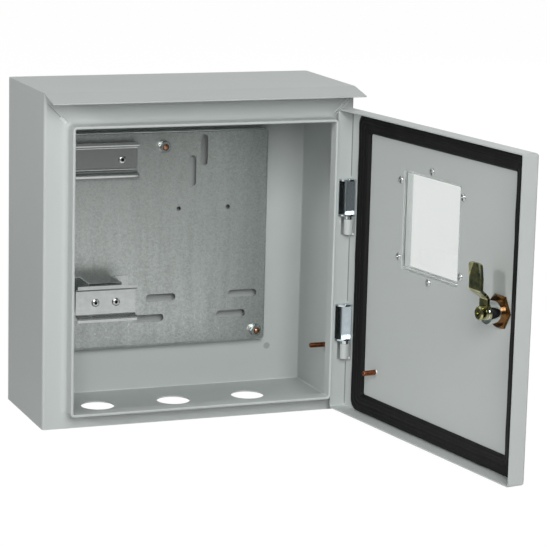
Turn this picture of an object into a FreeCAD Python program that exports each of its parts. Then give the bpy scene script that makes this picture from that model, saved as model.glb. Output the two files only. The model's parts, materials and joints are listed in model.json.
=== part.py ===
# Wall-mounted electric meter box of folded and painted sheet steel, with its door standing open.
# Millimetres. X runs right, Y runs back towards the wall, Z runs up, and the front faces -Y.
# The origin is the middle of the four wall-fixing holes, on the back face. Heights below are
# measured from the underside of the box, and the finished pieces are lowered to the origin.
import FreeCAD, Part
import math
import os

# Housing
sheet = 1.2
bend_radius = 1.4
box_width = 300.0
box_height = 310.0
body_depth = 121.0
hood_reach = 29.0
hood_drop = 5.8
hood_fold_radius = 5.0

# Opening and the rim that stands forward around it
opening_side_margin = 23.0
opening_top_margin = 29.5
opening_floor_margin = 15.5
opening_corner_radius = 3.0
rim_height = 18.0
rim_root_radius = 5.0
rim_hem = 1.5
rim_hem_end_gap = 0.6
rim_hem_corner_radius = 1.5
rim_edge_radius = 1.1

# Wall fixing and cable entry
wall_hole_diameter = 6.5
wall_hole_spacing_x = 230.0
wall_hole_spacing_z = 230.0
wall_hole_above_floor = 36.0
cable_hole_diameter = 32.0
cable_hole_pitch = 76.0
cable_hole_from_wall = 52.5
cable_hole_count = 3

# Mounting plate and its studs
plate_sheet = 1.0
plate_width = 216.0
plate_height = 211.0
plate_above_floor = 45.5
plate_standoff = 10.0
plate_bend_radius = 1.5
plate_corner_clip = 4.0
stud_diameter = 6.0
stud_hole_play = 0.5
stud_edge_inset = 10.5
stud_top_inset = 15.0
stud_tip_beyond_nut = 0.8
washer_diameter = 12.5
washer_thickness = 1.0
spring_washer_diameter = 10.6
spring_washer_thickness = 1.3
spring_washer_gap = 1.2
nut_across_flats = 10.0
nut_height = 4.2
nut_play = 0.1
nut_crown_share = 0.96
stud_chamfer = 0.6

# Slots for two meter sizes, and the pair of small holes between them
meter_axis_from_plate_edge = 66.5
meter_pattern_step_x = -11.7
meter_pattern_step_z = -20.0
meter_upper_slot_from_plate_top = 19.8
meter_lower_slot_above_plate_edge = 48.0
meter_lower_slot_reach = 42.2
meter_slot_length = 30.0
meter_slot_width = 7.2
meter_pattern_count = 2
small_hole_diameter = 4.4
small_hole_reach = 25.3
small_hole_from_plate_top = 76.3

# Rails for the switchgear
rail_width = 35.0
rail_mouth = 25.0
rail_depth = 7.5
rail_sheet = 1.0
rail_bend_radius = 1.5
rail_centre_from_plate_edge = 41.5
upper_rail_length = 80.0
upper_rail_from_plate_top = 26.5
upper_rivet_pitch = 49.4
lower_rail_length = 59.0
lower_rail_above_plate_edge = 53.5
lower_rivet_pitch = 20.2
bracket_depth = 31.0
bracket_width = 33.0
bracket_height = 37.0
bracket_foot = 15.0
bracket_sheet = 1.5
bracket_bend_radius = 2.0
rail_rivet_shank = 3.2
rail_rivet_head = 7.6
rail_rivet_head_height = 1.3

# Earth studs
earth_stud_diameter = 5.0
earth_stud_weld_diameter = 6.4
earth_stud_weld_height = 0.5
body_earth_length = 18.0
body_earth_from_wall = 74.5
body_earth_height = 51.9
door_earth_length = 14.0
door_earth_from_edge = 54.5
door_earth_height = 50.0

# Door
door_sheet = 1.2
door_width = 295.0
door_side_gap = 3.0
door_top_gap = 19.0
door_floor_gap = 5.0
door_flange = 17.0
door_open_angle = 98.4

# Seal
gasket_width = 18.0
gasket_height = 4.5
gasket_clearance = 0.3
gasket_crown_radius = 3.2
gasket_corner_radius = 10.0
gasket_inner_radius = 2.0
gasket_foot_chamfer = 1.1
gasket_hinge_inset = 15.0
gasket_free_inset = 7.5
gasket_end_inset = 0.45

# Hinges
hinge_axis_to_flange = 5.5
hinge_axis_to_panel = 5.3
hinge_pitch = 119.4
knuckle_height = 14.3
knuckle_diameter = 8.4
knuckle_sheet = 2.4
knuckle_foot = 12.0
knuckle_side_gap = 0.4
knuckle_bend_radius = 2.0
pin_diameter = 5.0
pin_clearance = 0.05
pin_rise = 0.95
pin_chamfer = 0.7
hinge_washer_diameter = 9.0
hinge_washer_height = 2.9
hinge_lift = 0.3
hinge_bracket_height = 34.5
hinge_bracket_sheet = 1.5
hinge_bracket_depth = 9.5
hinge_bracket_width = 14.0
hinge_ear_radius = 7.5
notch_clearance = 1.5
notch_flange_strip = 6.0
notch_panel_reach = 8.0

# Window
window_centre_from_hinge_edge = 137.5
window_centre_from_door_top = 89.7
window_opening = 92.0
window_corner_radius = 3.0
pane_flange = 112.0
pane_wall = 2.0
pane_rise = 8.5
pane_play = 0.6
pane_edge_radius = 1.6
window_rivet_reach = 50.2
window_rivet_spread = 35.3
window_rivet_shank = 3.2
window_rivet_head = 6.4
window_rivet_head_height = 1.2
window_rivet_tail = 7.2
window_rivet_tail_height = 2.4
window_rivet_tail_chamfer = 1.2

# Lock
lock_from_free_edge = 45.5
lock_head_diameter = 27.0
lock_head_height = 5.0
lock_head_chamfer = 1.2
lock_barrel_diameter = 20.0
lock_barrel_reach = 15.0
lock_hole_play = 0.4
lock_nut_across_flats = 28.0
lock_nut_thickness = 3.4
lock_nut_play = 0.1
plug_diameter = 13.0
plug_clearance = 0.05
plug_recess = 0.8
plug_end_gap = 0.3
key_slot_width = 2.0
key_slot_height = 8.0
key_slot_depth = 6.0
tang_size = 7.0
tang_play = 0.1
cam_sheet = 2.5
cam_length = 44.5
cam_offset = 9.5
cam_root_radius = 6.0
cam_tip_width = 18.0
cam_tip_corner = 6.0
cam_crank_start = 13.0
cam_crank_end = 20.5
cam_spring_washer_diameter = 12.0
cam_spring_washer_thickness = 2.0
cam_screw_diameter = 6.0
cam_screw_head = 12.5
cam_screw_head_height = 3.2
cam_screw_head_chamfer = 1.3
cam_screw_length = 9.0
screw_recess_width = 1.4
screw_recess_length = 6.0
screw_recess_depth = 1.6

# Places worked out from the sizes above
half_width = box_width / 2
roof_underside = box_height - sheet
opening_x = half_width - opening_side_margin
opening_low = opening_floor_margin
opening_high = box_height - opening_top_margin
front_inside = -body_depth + sheet
plate_back = -(sheet + plate_standoff)
plate_front = plate_back - plate_sheet
plate_top = plate_above_floor + plate_height
meter_axis_x = plate_width / 2 - meter_axis_from_plate_edge
meter_upper_slot_height = plate_top - meter_upper_slot_from_plate_top
meter_lower_slot_height = plate_above_floor + meter_lower_slot_above_plate_edge
small_hole_height = plate_top - small_hole_from_plate_top
rail_centre_x = rail_centre_from_plate_edge - plate_width / 2
upper_rail_height = plate_top - upper_rail_from_plate_top
lower_rail_height = plate_above_floor + lower_rail_above_plate_edge
door_hinge_edge = half_width - door_side_gap
door_free_edge = door_hinge_edge - door_width
door_low = door_floor_gap
door_high = box_height - door_top_gap
door_middle = (door_low + door_high) / 2
door_inside = -(body_depth + rim_height + gasket_clearance + gasket_height)
door_outside = door_inside - door_sheet
door_flange_end = door_outside + door_flange
hinge_x = door_hinge_edge - door_sheet - hinge_axis_to_flange
hinge_y = door_inside + hinge_axis_to_panel
washer_low = knuckle_height + hinge_lift
bracket_low = washer_low + hinge_washer_height
bracket_high = bracket_low + hinge_bracket_height
bracket_middle = (bracket_low + bracket_high) / 2
knuckle_low_heights = {
    "upper": door_middle + hinge_pitch / 2 - bracket_middle,
    "lower": door_middle - hinge_pitch / 2 - bracket_middle,
}
window_x = door_hinge_edge - window_centre_from_hinge_edge
window_centre_height = door_high - window_centre_from_door_top
lock_x = door_free_edge + lock_from_free_edge
lock_z = door_middle
barrel_end = door_inside + lock_barrel_reach
cam_back = barrel_end + plug_end_gap
cam_front = cam_back + cam_sheet
body_origin_height = wall_hole_above_floor + wall_hole_spacing_z / 2

X = FreeCAD.Vector(1, 0, 0)
Y = FreeCAD.Vector(0, 1, 0)
Z = FreeCAD.Vector(0, 0, 1)


def block(x, y, z):
    """Box between pairs of limits along each axis."""
    size = [high - low for low, high in (x, y, z)]
    return Part.makeBox(*size, FreeCAD.Vector(x[0], y[0], z[0]))


def rod(start, direction, diameter, length):
    """Cylinder that starts at a point and runs along a direction."""
    return Part.makeCylinder(diameter / 2, length, FreeCAD.Vector(*start), direction)


def straight_edges(shape, axis):
    """Straight edges of a shape that run along one axis."""
    lines = [edge for edge in shape.Edges if isinstance(edge.Curve, Part.Line)]
    return [edge for edge in lines if abs(edge.tangentAt(edge.FirstParameter).dot(axis)) > 0.999]


def edges_at(shape, axis, place):
    """Edges of a shape that lie flat in the plane at one place along an axis."""
    found = []
    for edge in shape.Edges:
        box = edge.BoundBox
        low = {"x": box.XMin, "y": box.YMin, "z": box.ZMin}[axis]
        high = {"x": box.XMax, "y": box.YMax, "z": box.ZMax}[axis]
        if abs(low - place) < 1e-4 and abs(high - place) < 1e-4:
            found.append(edge)
    return found


def edges_through(shape, axis, points):
    """Straight edges along an axis that pass through points, each given by its two other coordinates."""
    across = [index for index in range(3) if abs(axis[index]) < 0.5]
    found = []
    for edge in straight_edges(shape, axis):
        centre = edge.BoundBox.Center
        for point in points:
            if max(abs(centre[index] - value) for index, value in zip(across, point)) < 1e-4:
                found.append(edge)
    return found


def rounded_slab(x, y, z, radius):
    """Box whose four edges along Y are rounded."""
    slab = block(x, y, z)
    return slab.makeFillet(radius, straight_edges(slab, Y))


def outline_xz(points, y):
    """Prism over an outline of (x, z) points, between two places along Y."""
    corners = [FreeCAD.Vector(px, y[0], pz) for px, pz in points]
    face = Part.Face(Part.makePolygon(corners + corners[:1]))
    return face.extrude(FreeCAD.Vector(0, y[1] - y[0], 0))


def outline_yz(points, x):
    """Prism over an outline of (y, z) points, between two places along X."""
    corners = [FreeCAD.Vector(x[0], py, pz) for py, pz in points]
    face = Part.Face(Part.makePolygon(corners + corners[:1]))
    return face.extrude(FreeCAD.Vector(x[1] - x[0], 0, 0))


def outline_xy(points, z):
    """Prism over an outline of (x, y) points, between two heights."""
    corners = [FreeCAD.Vector(px, py, z[0]) for px, py in points]
    face = Part.Face(Part.makePolygon(corners + corners[:1]))
    return face.extrude(FreeCAD.Vector(0, 0, z[1] - z[0]))


def ring(start, direction, outer, inner, length):
    """Round ring with a round hole."""
    return rod(start, direction, outer, length).cut(rod(start, direction, inner, length))


def hex_nut(start, direction, flats, hole, height):
    """Six-sided nut with chamfered corners and a plain bore, standing on a point along a direction."""
    corner = flats / math.sqrt(3)
    corners = []
    for step in range(6):
        turn = math.radians(60 * step)
        corners.append(FreeCAD.Vector(corner * math.cos(turn), corner * math.sin(turn), 0))
    prism = Part.Face(Part.makePolygon(corners + corners[:1])).extrude(Z * height)
    crown_radius = flats * nut_crown_share / 2
    crown = Part.makeCone(crown_radius + height, crown_radius, height, FreeCAD.Vector(0, 0, 0), Z)
    nut = prism.common(crown).cut(rod((0, 0, 0), Z, hole, height))
    nut.Placement = FreeCAD.Placement(FreeCAD.Vector(*start), FreeCAD.Rotation(Z, direction))
    return nut


def split_ring(start, direction, outer, inner, height, gap):
    """Spring washer: a square-section ring with one narrow cut."""
    washer = ring((0, 0, 0), Z, outer, inner, height)
    washer = washer.cut(block((0, outer), (-gap / 2, gap / 2), (0, height)))
    washer.Placement = FreeCAD.Placement(FreeCAD.Vector(*start), FreeCAD.Rotation(Z, direction))
    return washer


def blind_rivet(start, direction, shank, shank_length, head, head_height):
    """Blind rivet: a shank that runs back from the start, and a low coned head ahead of it."""
    crown = Part.makeCone(head / 2, shank / 2, head_height)
    rivet = crown.fuse(rod((0, 0, -shank_length), Z, shank, shank_length))
    rivet.Placement = FreeCAD.Placement(FreeCAD.Vector(*start), FreeCAD.Rotation(Z, direction))
    return rivet


def meter_slot(x, z, direction, y):
    """Round-ended slot cutter through the plate, centred at (x, z) and long in one direction."""
    centre = FreeCAD.Vector(x, y[0], z)
    reach = direction * ((meter_slot_length - meter_slot_width) / 2)
    across = direction.cross(Y) * (meter_slot_width / 2)
    corners = [centre + reach + across, centre + reach - across]
    corners += [centre - reach - across, centre - reach + across]
    cutter = Part.Face(Part.makePolygon(corners + corners[:1])).extrude(Y * (y[1] - y[0]))
    for end in (centre + reach, centre - reach):
        cutter = cutter.fuse(rod(end, Y, meter_slot_width, y[1] - y[0]))
    return cutter


# Housing


def housing_shell():
    """Walls, floor, front strips and hemmed rim as one folded shell, open at the top."""
    outer = block((-half_width, half_width), (-body_depth, 0), (0, roof_underside))
    outer = outer.makeFillet(bend_radius + sheet, straight_edges(outer, Z))
    hollow_x = half_width - sheet
    hollow = block((-hollow_x, hollow_x), (front_inside, -sheet), (sheet, box_height))
    hollow = hollow.makeFillet(bend_radius, straight_edges(hollow, Z))
    rim_front = -body_depth - rim_height
    window = rounded_slab((-opening_x, opening_x), (rim_front, front_inside),
                          (opening_low, opening_high), opening_corner_radius)
    rim_x = opening_x + sheet
    rim = rounded_slab((-rim_x, rim_x), (rim_front, front_inside),
                       (opening_low - sheet, opening_high + sheet), opening_corner_radius + sheet)
    hem_y = (rim_front, -body_depth - rim_root_radius - rim_hem_end_gap)
    hem = rounded_slab((-opening_x, opening_x), hem_y, (opening_low, opening_high), opening_corner_radius)
    hem_x = opening_x - rim_hem
    hem = hem.cut(rounded_slab((-hem_x, hem_x), hem_y, (opening_low + rim_hem, opening_high - rim_hem),
                               rim_hem_corner_radius))
    shell = outer.cut(hollow).fuse(rim).cut(window).fuse(hem).removeSplitter()
    inside_rim = rim_x + 0.01
    front_root = [edge for edge in edges_at(shell, "y", -body_depth)
                  if edge.BoundBox.XMin > -inside_rim and edge.BoundBox.XMax < inside_rim
                  and edge.BoundBox.ZMin > opening_low - sheet - 0.01]
    shell = shell.makeFillet(rim_root_radius, front_root)
    back_root = [edge for edge in edges_at(shell, "y", front_inside)
                 if edge.BoundBox.XMin > -inside_rim and edge.BoundBox.XMax < inside_rim
                 and edge.BoundBox.ZMin > opening_low - 0.01]
    shell = shell.makeFillet(rim_root_radius + sheet, back_root)
    return shell.makeFillet(rim_edge_radius, edges_at(shell, "y", rim_front))


def mitre_wedge(corner_height, upward):
    """Front zone over or under the opening, bounded by 45 degree lines through the rim's corners."""
    corner_x = opening_x + sheet
    reach = box_width
    tip = corner_height - upward * corner_x
    far = corner_height + upward * (reach - corner_x)
    zone = (-body_depth - rim_height - sheet, front_inside)
    return outline_xz([(0, tip), (reach, far), (-reach, far)], zone)


def housing_sheets():
    """The shell divided where its sheets are welded: wrap, top frame and floor."""
    shell = housing_shell()
    top_frame = shell.common(mitre_wedge(opening_high + sheet, 1))
    inner_x = half_width - sheet
    floor_zone = block((-inner_x, inner_x), (front_inside, -sheet), (0, sheet))
    lower_frame = shell.common(mitre_wedge(opening_low - sheet, -1))
    floor = shell.common(floor_zone).fuse(lower_frame).removeSplitter()
    wrap = shell.cut(top_frame).cut(floor)
    for x in (-wall_hole_spacing_x / 2, wall_hole_spacing_x / 2):
        for z in (wall_hole_above_floor, wall_hole_above_floor + wall_hole_spacing_z):
            wrap = wrap.cut(rod((x, -2 * sheet, z), Y, wall_hole_diameter, 3 * sheet))
    first = -cable_hole_pitch * (cable_hole_count - 1) / 2
    for index in range(cable_hole_count):
        place = (first + index * cable_hole_pitch, -cable_hole_from_wall, -sheet)
        floor = floor.cut(rod(place, Z, cable_hole_diameter, 3 * sheet))
    return wrap, top_frame, floor


def roof_panel():
    """Top sheet that folds gently down into a hood ahead of the front face."""
    slope = math.atan2(hood_drop, hood_reach)
    fold_y = -body_depth - sheet * math.tan(slope / 2)
    tip = (-body_depth - hood_reach, box_height - hood_drop)
    tip_under = (tip[0] + sheet * math.sin(slope), tip[1] - sheet * math.cos(slope))
    profile = [(0, box_height), (fold_y, box_height), tip, tip_under,
               (-body_depth, roof_underside), (0, roof_underside)]
    roof = outline_yz(profile, (-half_width, half_width))
    roof = roof.makeFillet(hood_fold_radius, edges_through(roof, X, [(fold_y, box_height)]))
    return roof.makeFillet(bend_radius + sheet, edges_through(roof, Z, [(-half_width, 0), (half_width, 0)]))


def hinge_knuckle(low):
    """Curled eye on a bent arm that reaches round the door's edge to a foot on the front strip."""
    radius = knuckle_diameter / 2
    side = door_hinge_edge + knuckle_side_gap
    back_y = hinge_y + radius
    foot_y = -body_depth - knuckle_sheet
    z = (low, low + knuckle_height)
    arm_out = block((hinge_x, side + knuckle_sheet), (back_y - knuckle_sheet, back_y), z)
    arm_back = block((side, side + knuckle_sheet), (back_y - knuckle_sheet, -body_depth), z)
    foot = block((side + knuckle_sheet - knuckle_foot, side + knuckle_sheet), (foot_y, -body_depth), z)
    eye = rod((hinge_x, hinge_y, low), Z, knuckle_diameter, knuckle_height)
    leaf = eye.fuse([arm_out, arm_back, foot]).removeSplitter()
    corners = [(side + knuckle_sheet, back_y - knuckle_sheet), (side + knuckle_sheet, -body_depth)]
    leaf = leaf.makeFillet(knuckle_bend_radius, edges_through(leaf, Z, corners))
    bore = pin_diameter + 2 * pin_clearance
    return leaf.cut(rod((hinge_x, hinge_y, low), Z, bore, knuckle_height))


# Mounting plate and rails


def stud_places():
    """Where the plate's three studs stand: top middle and the two lower corners."""
    low = plate_above_floor + stud_edge_inset
    side = plate_width / 2 - stud_edge_inset
    return [(0, plate_top - stud_top_inset), (-side, low), (side, low)]


def mounting_plate():
    """Tray folded back on all four sides, with clipped corners, stud holes and meter slots."""
    x = (-plate_width / 2, plate_width / 2)
    z = (plate_above_floor, plate_top)
    tray = block(x, (plate_front, -sheet), z)
    tray = tray.makeFillet(plate_bend_radius + plate_sheet, edges_at(tray, "y", plate_front))
    hollow = block((x[0] + plate_sheet, x[1] - plate_sheet), (plate_back, -sheet),
                   (z[0] + plate_sheet, z[1] - plate_sheet))
    hollow = hollow.makeFillet(plate_bend_radius, edges_at(hollow, "y", plate_back))
    tray = tray.cut(hollow)
    clip = plate_corner_clip
    for corner_x, inward_x in ((x[0], 1), (x[1], -1)):
        for corner_z, inward_z in ((z[0], 1), (z[1], -1)):
            points = [(corner_x - inward_x, corner_z - inward_z),
                      (corner_x + inward_x * (clip + 1), corner_z - inward_z),
                      (corner_x - inward_x, corner_z + inward_z * (clip + 1))]
            tray = tray.cut(outline_xz(points, (plate_front - plate_sheet, 0)))
    through = (plate_front - plate_sheet, plate_back + plate_sheet)
    depth = through[1] - through[0]
    for place_x, place_z in stud_places():
        hole = stud_diameter + stud_hole_play
        tray = tray.cut(rod((place_x, through[0], place_z), Y, hole, depth))
    for index in range(meter_pattern_count):
        middle = meter_axis_x + index * meter_pattern_step_x
        drop = index * meter_pattern_step_z
        tray = tray.cut(meter_slot(middle, meter_upper_slot_height + drop, Z, through))
        for reach in (-meter_lower_slot_reach, meter_lower_slot_reach):
            tray = tray.cut(meter_slot(middle + reach, meter_lower_slot_height + drop, X, through))
    for reach in (-small_hole_reach, small_hole_reach):
        place = (meter_axis_x + reach, through[0], small_hole_height)
        tray = tray.cut(rod(place, Y, small_hole_diameter, depth))
    return tray


def plate_fixings():
    """Studs welded to the back, and the washer, spring washer and nut on each of them."""
    washer_front = plate_front - washer_thickness
    spring_front = washer_front - spring_washer_thickness
    nut_front = spring_front - nut_height
    bore = stud_diameter + 2 * nut_play
    studs, washers, springs, nuts = [], [], [], []
    for x, z in stud_places():
        length = -sheet - nut_front + stud_tip_beyond_nut
        stud = rod((x, -sheet, z), -Y, stud_diameter, length)
        studs.append(stud.makeChamfer(stud_chamfer, edges_at(stud, "y", -sheet - length)))
        washers.append(ring((x, plate_front, z), -Y, washer_diameter, bore, washer_thickness))
        springs.append(split_ring((x, washer_front, z), -Y, spring_washer_diameter, bore,
                                  spring_washer_thickness, spring_washer_gap))
        nuts.append(hex_nut((x, spring_front, z), -Y, nut_across_flats, bore, nut_height))
    return studs, washers, springs, nuts


def hat_rail(length, height, seat):
    """Hat-section rail, its web on a seat and its lips forward, bent from one strip."""
    lip = rail_width / 2
    inner = rail_mouth / 2
    outer = inner + rail_sheet
    front = seat - rail_depth
    lip_back = front + rail_sheet
    web_front = seat - rail_sheet
    half = [(seat, outer), (lip_back, outer), (lip_back, lip),
            (front, lip), (front, inner), (web_front, inner)]
    mirrored = [(y, -z) for y, z in reversed(half)]
    points = [(y, height + z) for y, z in half + mirrored]
    x = (rail_centre_x - length / 2, rail_centre_x + length / 2)
    rail = outline_yz(points, x)
    hollow_bends = [(lip_back, height + outer), (lip_back, height - outer),
                    (web_front, height + inner), (web_front, height - inner)]
    round_bends = [(seat, height + outer), (seat, height - outer),
                   (front, height + inner), (front, height - inner)]
    rail = rail.makeFillet(rail_bend_radius, edges_through(rail, X, hollow_bends))
    return rail.makeFillet(rail_bend_radius + rail_sheet, edges_through(rail, X, round_bends))


def rail_with_rivets(length, height, seat, pitch, grip):
    """A rail drilled for two blind rivets, and the rivets that hold it through what lies behind."""
    web_front = seat - rail_sheet
    rail = hat_rail(length, height, seat)
    rivets = []
    for x in (rail_centre_x - pitch / 2, rail_centre_x + pitch / 2):
        rail = rail.cut(rod((x, web_front, height), Y, rail_rivet_shank, rail_sheet))
        rivets.append(blind_rivet((x, web_front, height), -Y, rail_rivet_shank, rail_sheet + grip,
                                 rail_rivet_head, rail_rivet_head_height))
    return rail, rivets


def drill_for_rivets(shape, height, pitch, start, depth):
    """Cuts the two rivet holes of a rail through the sheet that carries it."""
    for x in (rail_centre_x - pitch / 2, rail_centre_x + pitch / 2):
        shape = shape.cut(rod((x, start, height), Y, rail_rivet_shank, depth))
    return shape


def rail_bracket():
    """Upright hat section that carries the lower rail ahead of the plate."""
    half = bracket_width / 2
    front = plate_front - bracket_depth
    t = bracket_sheet
    foot_x = half + bracket_foot
    right = [(half - t, front + t), (half - t, plate_front), (foot_x, plate_front),
             (foot_x, plate_front - t), (half, plate_front - t), (half, front)]
    left = [(-x, y) for x, y in reversed(right)]
    points = [(rail_centre_x + x, y) for x, y in right + left]
    z = (lower_rail_height - bracket_height / 2, lower_rail_height + bracket_height / 2)
    hat = outline_xy(points, z)
    folds = [(rail_centre_x - half, front), (rail_centre_x + half, front)]
    hat = hat.makeFillet(bracket_bend_radius, edges_through(hat, Z, folds))
    return drill_for_rivets(hat, lower_rail_height, lower_rivet_pitch, front, t)


def earth_stud(start, direction, length):
    """Welded stud with a low ring of weld at its foot."""
    stud = rod((0, 0, 0), Z, earth_stud_diameter, length)
    stud = stud.makeChamfer(stud_chamfer, edges_at(stud, "z", length))
    weld = rod((0, 0, 0), Z, earth_stud_weld_diameter, earth_stud_weld_height)
    stud = stud.fuse(weld).removeSplitter()
    stud.Placement = FreeCAD.Placement(FreeCAD.Vector(*start), FreeCAD.Rotation(Z, direction))
    return stud


# Door, modelled shut


def door_panel():
    """Folded tray with four flanges, cut for the window, the lock, the rivets and the hinges."""
    x = (door_free_edge, door_hinge_edge)
    z = (door_low, door_high)
    fold = bend_radius + door_sheet
    tray = block(x, (door_outside, door_flange_end), z)
    tray = tray.makeFillet(fold, straight_edges(tray, Y) + edges_at(tray, "y", door_outside))
    hollow = block((x[0] + door_sheet, x[1] - door_sheet), (door_inside, door_flange_end),
                   (z[0] + door_sheet, z[1] - door_sheet))
    hollow = hollow.makeFillet(bend_radius, straight_edges(hollow, Y) + edges_at(hollow, "y", door_inside))
    tray = tray.cut(hollow)
    through = (door_outside - door_sheet, door_inside + door_sheet)
    depth = through[1] - through[0]
    tray = tray.cut(window_square(window_opening / 2, through, window_corner_radius))
    for place_x, place_z in window_rivet_places():
        tray = tray.cut(rod((place_x, through[0], place_z), Y, window_rivet_shank, depth))
    barrel_hole = lock_barrel_diameter + lock_hole_play
    tray = tray.cut(rod((lock_x, through[0], lock_z), Y, barrel_hole, depth))
    for low in knuckle_low_heights.values():
        heights = (low - notch_clearance, low + knuckle_height + hinge_lift + notch_clearance)
        tray = tray.cut(block((x[1] - notch_panel_reach, x[1] + door_sheet),
                              (through[0], door_flange_end - notch_flange_strip), heights))
    return tray


def door_gasket():
    """Rubber seal glued round the door's inner face, flat below and crowned above."""
    outer_x = (door_free_edge + door_sheet + gasket_free_inset,
               door_hinge_edge - door_sheet - gasket_hinge_inset)
    outer_z = (door_low + door_sheet + gasket_end_inset, door_high - door_sheet - gasket_end_inset)
    y = (door_inside, door_inside + gasket_height)
    inner_x = (outer_x[0] + gasket_width, outer_x[1] - gasket_width)
    inner_z = (outer_z[0] + gasket_width, outer_z[1] - gasket_width)
    strip = rounded_slab(outer_x, y, outer_z, gasket_corner_radius)
    strip = strip.cut(rounded_slab(inner_x, y, inner_z, gasket_inner_radius))
    strip = strip.makeFillet(gasket_crown_radius, edges_at(strip, "y", y[1]))
    return strip.makeChamfer(gasket_foot_chamfer, edges_at(strip, "y", y[0]))


def window_rivet_places():
    """Two rivets on each side of the window, one above and one below."""
    places = []
    for side in (-window_rivet_reach, window_rivet_reach):
        places.append((window_x + side, window_centre_height - window_rivet_spread))
        places.append((window_x + side, window_centre_height + window_rivet_spread))
        places.append((window_x, window_centre_height + side))
    return places


def window_square(half, y, radius):
    """Square slab with rounded corners, centred on the window, between two places along Y."""
    x = (window_x - half, window_x + half)
    return rounded_slab(x, y, (window_centre_height - half, window_centre_height + half), radius)


def window_pane():
    """Clear moulded pane: a flat flange outside the door with a hollow box that stands out of it."""
    box = window_opening / 2 - pane_play
    top = door_outside - pane_rise
    plate = window_square(pane_flange / 2, (door_outside - pane_wall, door_outside), window_corner_radius)
    raised = window_square(box, (top, door_outside), window_corner_radius)
    raised = raised.makeFillet(pane_edge_radius, edges_at(raised, "y", top))
    inside = window_square(box - pane_wall, (top + pane_wall, door_outside), window_corner_radius / 2)
    pane = plate.fuse(raised).cut(inside).removeSplitter()
    for x, z in window_rivet_places():
        pane = pane.cut(rod((x, door_outside - pane_wall, z), Y, window_rivet_shank, pane_wall))
    return pane


def window_rivets():
    """Blind rivets with a coned head outside and a swelled tail on the door's inner face."""
    rivets = []
    grip = pane_wall + door_sheet
    for x, z in window_rivet_places():
        rivet = blind_rivet((x, door_outside - pane_wall, z), -Y, window_rivet_shank, grip,
                           window_rivet_head, window_rivet_head_height)
        tail = rod((x, door_inside, z), Y, window_rivet_tail, window_rivet_tail_height)
        tail_end = edges_at(tail, "y", door_inside + window_rivet_tail_height)
        tail = tail.makeChamfer(window_rivet_tail_chamfer, tail_end)
        rivets.append(rivet.fuse(tail).removeSplitter())
    return rivets


def hinge_bracket(low):
    """Pressed cup on the hinge flange: base, spine and two ears that hold the pin."""
    t = hinge_bracket_sheet
    seat = door_hinge_edge - door_sheet
    free = seat - hinge_bracket_depth
    front = door_inside + hinge_bracket_width
    z = (low + bracket_low, low + bracket_high)
    cup = block((free, seat), (door_inside, front), z)
    cup = cup.makeFillet(bend_radius + t / 2, edges_through(cup, Z, [(seat, door_inside)]))
    cup = cup.makeFillet(hinge_ear_radius, edges_through(cup, Z, [(free, front)]))
    cup = cup.cut(block((free - t, seat - t), (door_inside + t, front + t), (z[0] + t, z[1] - t)))
    return cup.cut(rod((hinge_x, hinge_y, z[0]), Z, pin_diameter, z[1] - z[0]))


def hinge_pin(low):
    """Headless pin, tight in the bracket's ears and free in the knuckle, with a chamfered top."""
    top = low + bracket_high + pin_rise
    pin = rod((hinge_x, hinge_y, low), Z, pin_diameter, top - low)
    return pin.makeChamfer(pin_chamfer, edges_at(pin, "z", top))


def hinge_washer(low):
    """Collar on the pin between the bracket and the knuckle."""
    start = (hinge_x, hinge_y, low + washer_low)
    return ring(start, Z, hinge_washer_diameter, pin_diameter, hinge_washer_height)


# Lock, modelled shut with the cam upright


def lock_housing():
    """Barrel with a round head outside the door, bored for the plug."""
    head = rod((lock_x, door_outside - lock_head_height, lock_z), Y, lock_head_diameter, lock_head_height)
    head = head.makeChamfer(lock_head_chamfer, edges_at(head, "y", door_outside - lock_head_height))
    barrel = rod((lock_x, door_outside, lock_z), Y, lock_barrel_diameter, barrel_end - door_outside)
    bore = plug_diameter + 2 * plug_clearance
    length = barrel_end - door_outside + lock_head_height
    bored = head.fuse(barrel).removeSplitter()
    return bored.cut(rod((lock_x, door_outside - lock_head_height, lock_z), Y, bore, length))


def lock_plug():
    """Turning plug with a key slot in front and a square tang that drives the cam."""
    front = door_outside - lock_head_height + plug_recess
    plug = rod((lock_x, front, lock_z), Y, plug_diameter, cam_back - front)
    half = tang_size / 2
    tang = block((lock_x - half, lock_x + half), (cam_back, cam_front), (lock_z - half, lock_z + half))
    plug = plug.fuse(tang)
    plug = plug.cut(block((lock_x - key_slot_width / 2, lock_x + key_slot_width / 2),
                          (front, front + key_slot_depth),
                          (lock_z - key_slot_height / 2, lock_z + key_slot_height / 2)))
    return plug.cut(rod((lock_x, cam_front, lock_z), -Y, cam_screw_diameter, cam_screw_length))


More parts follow.
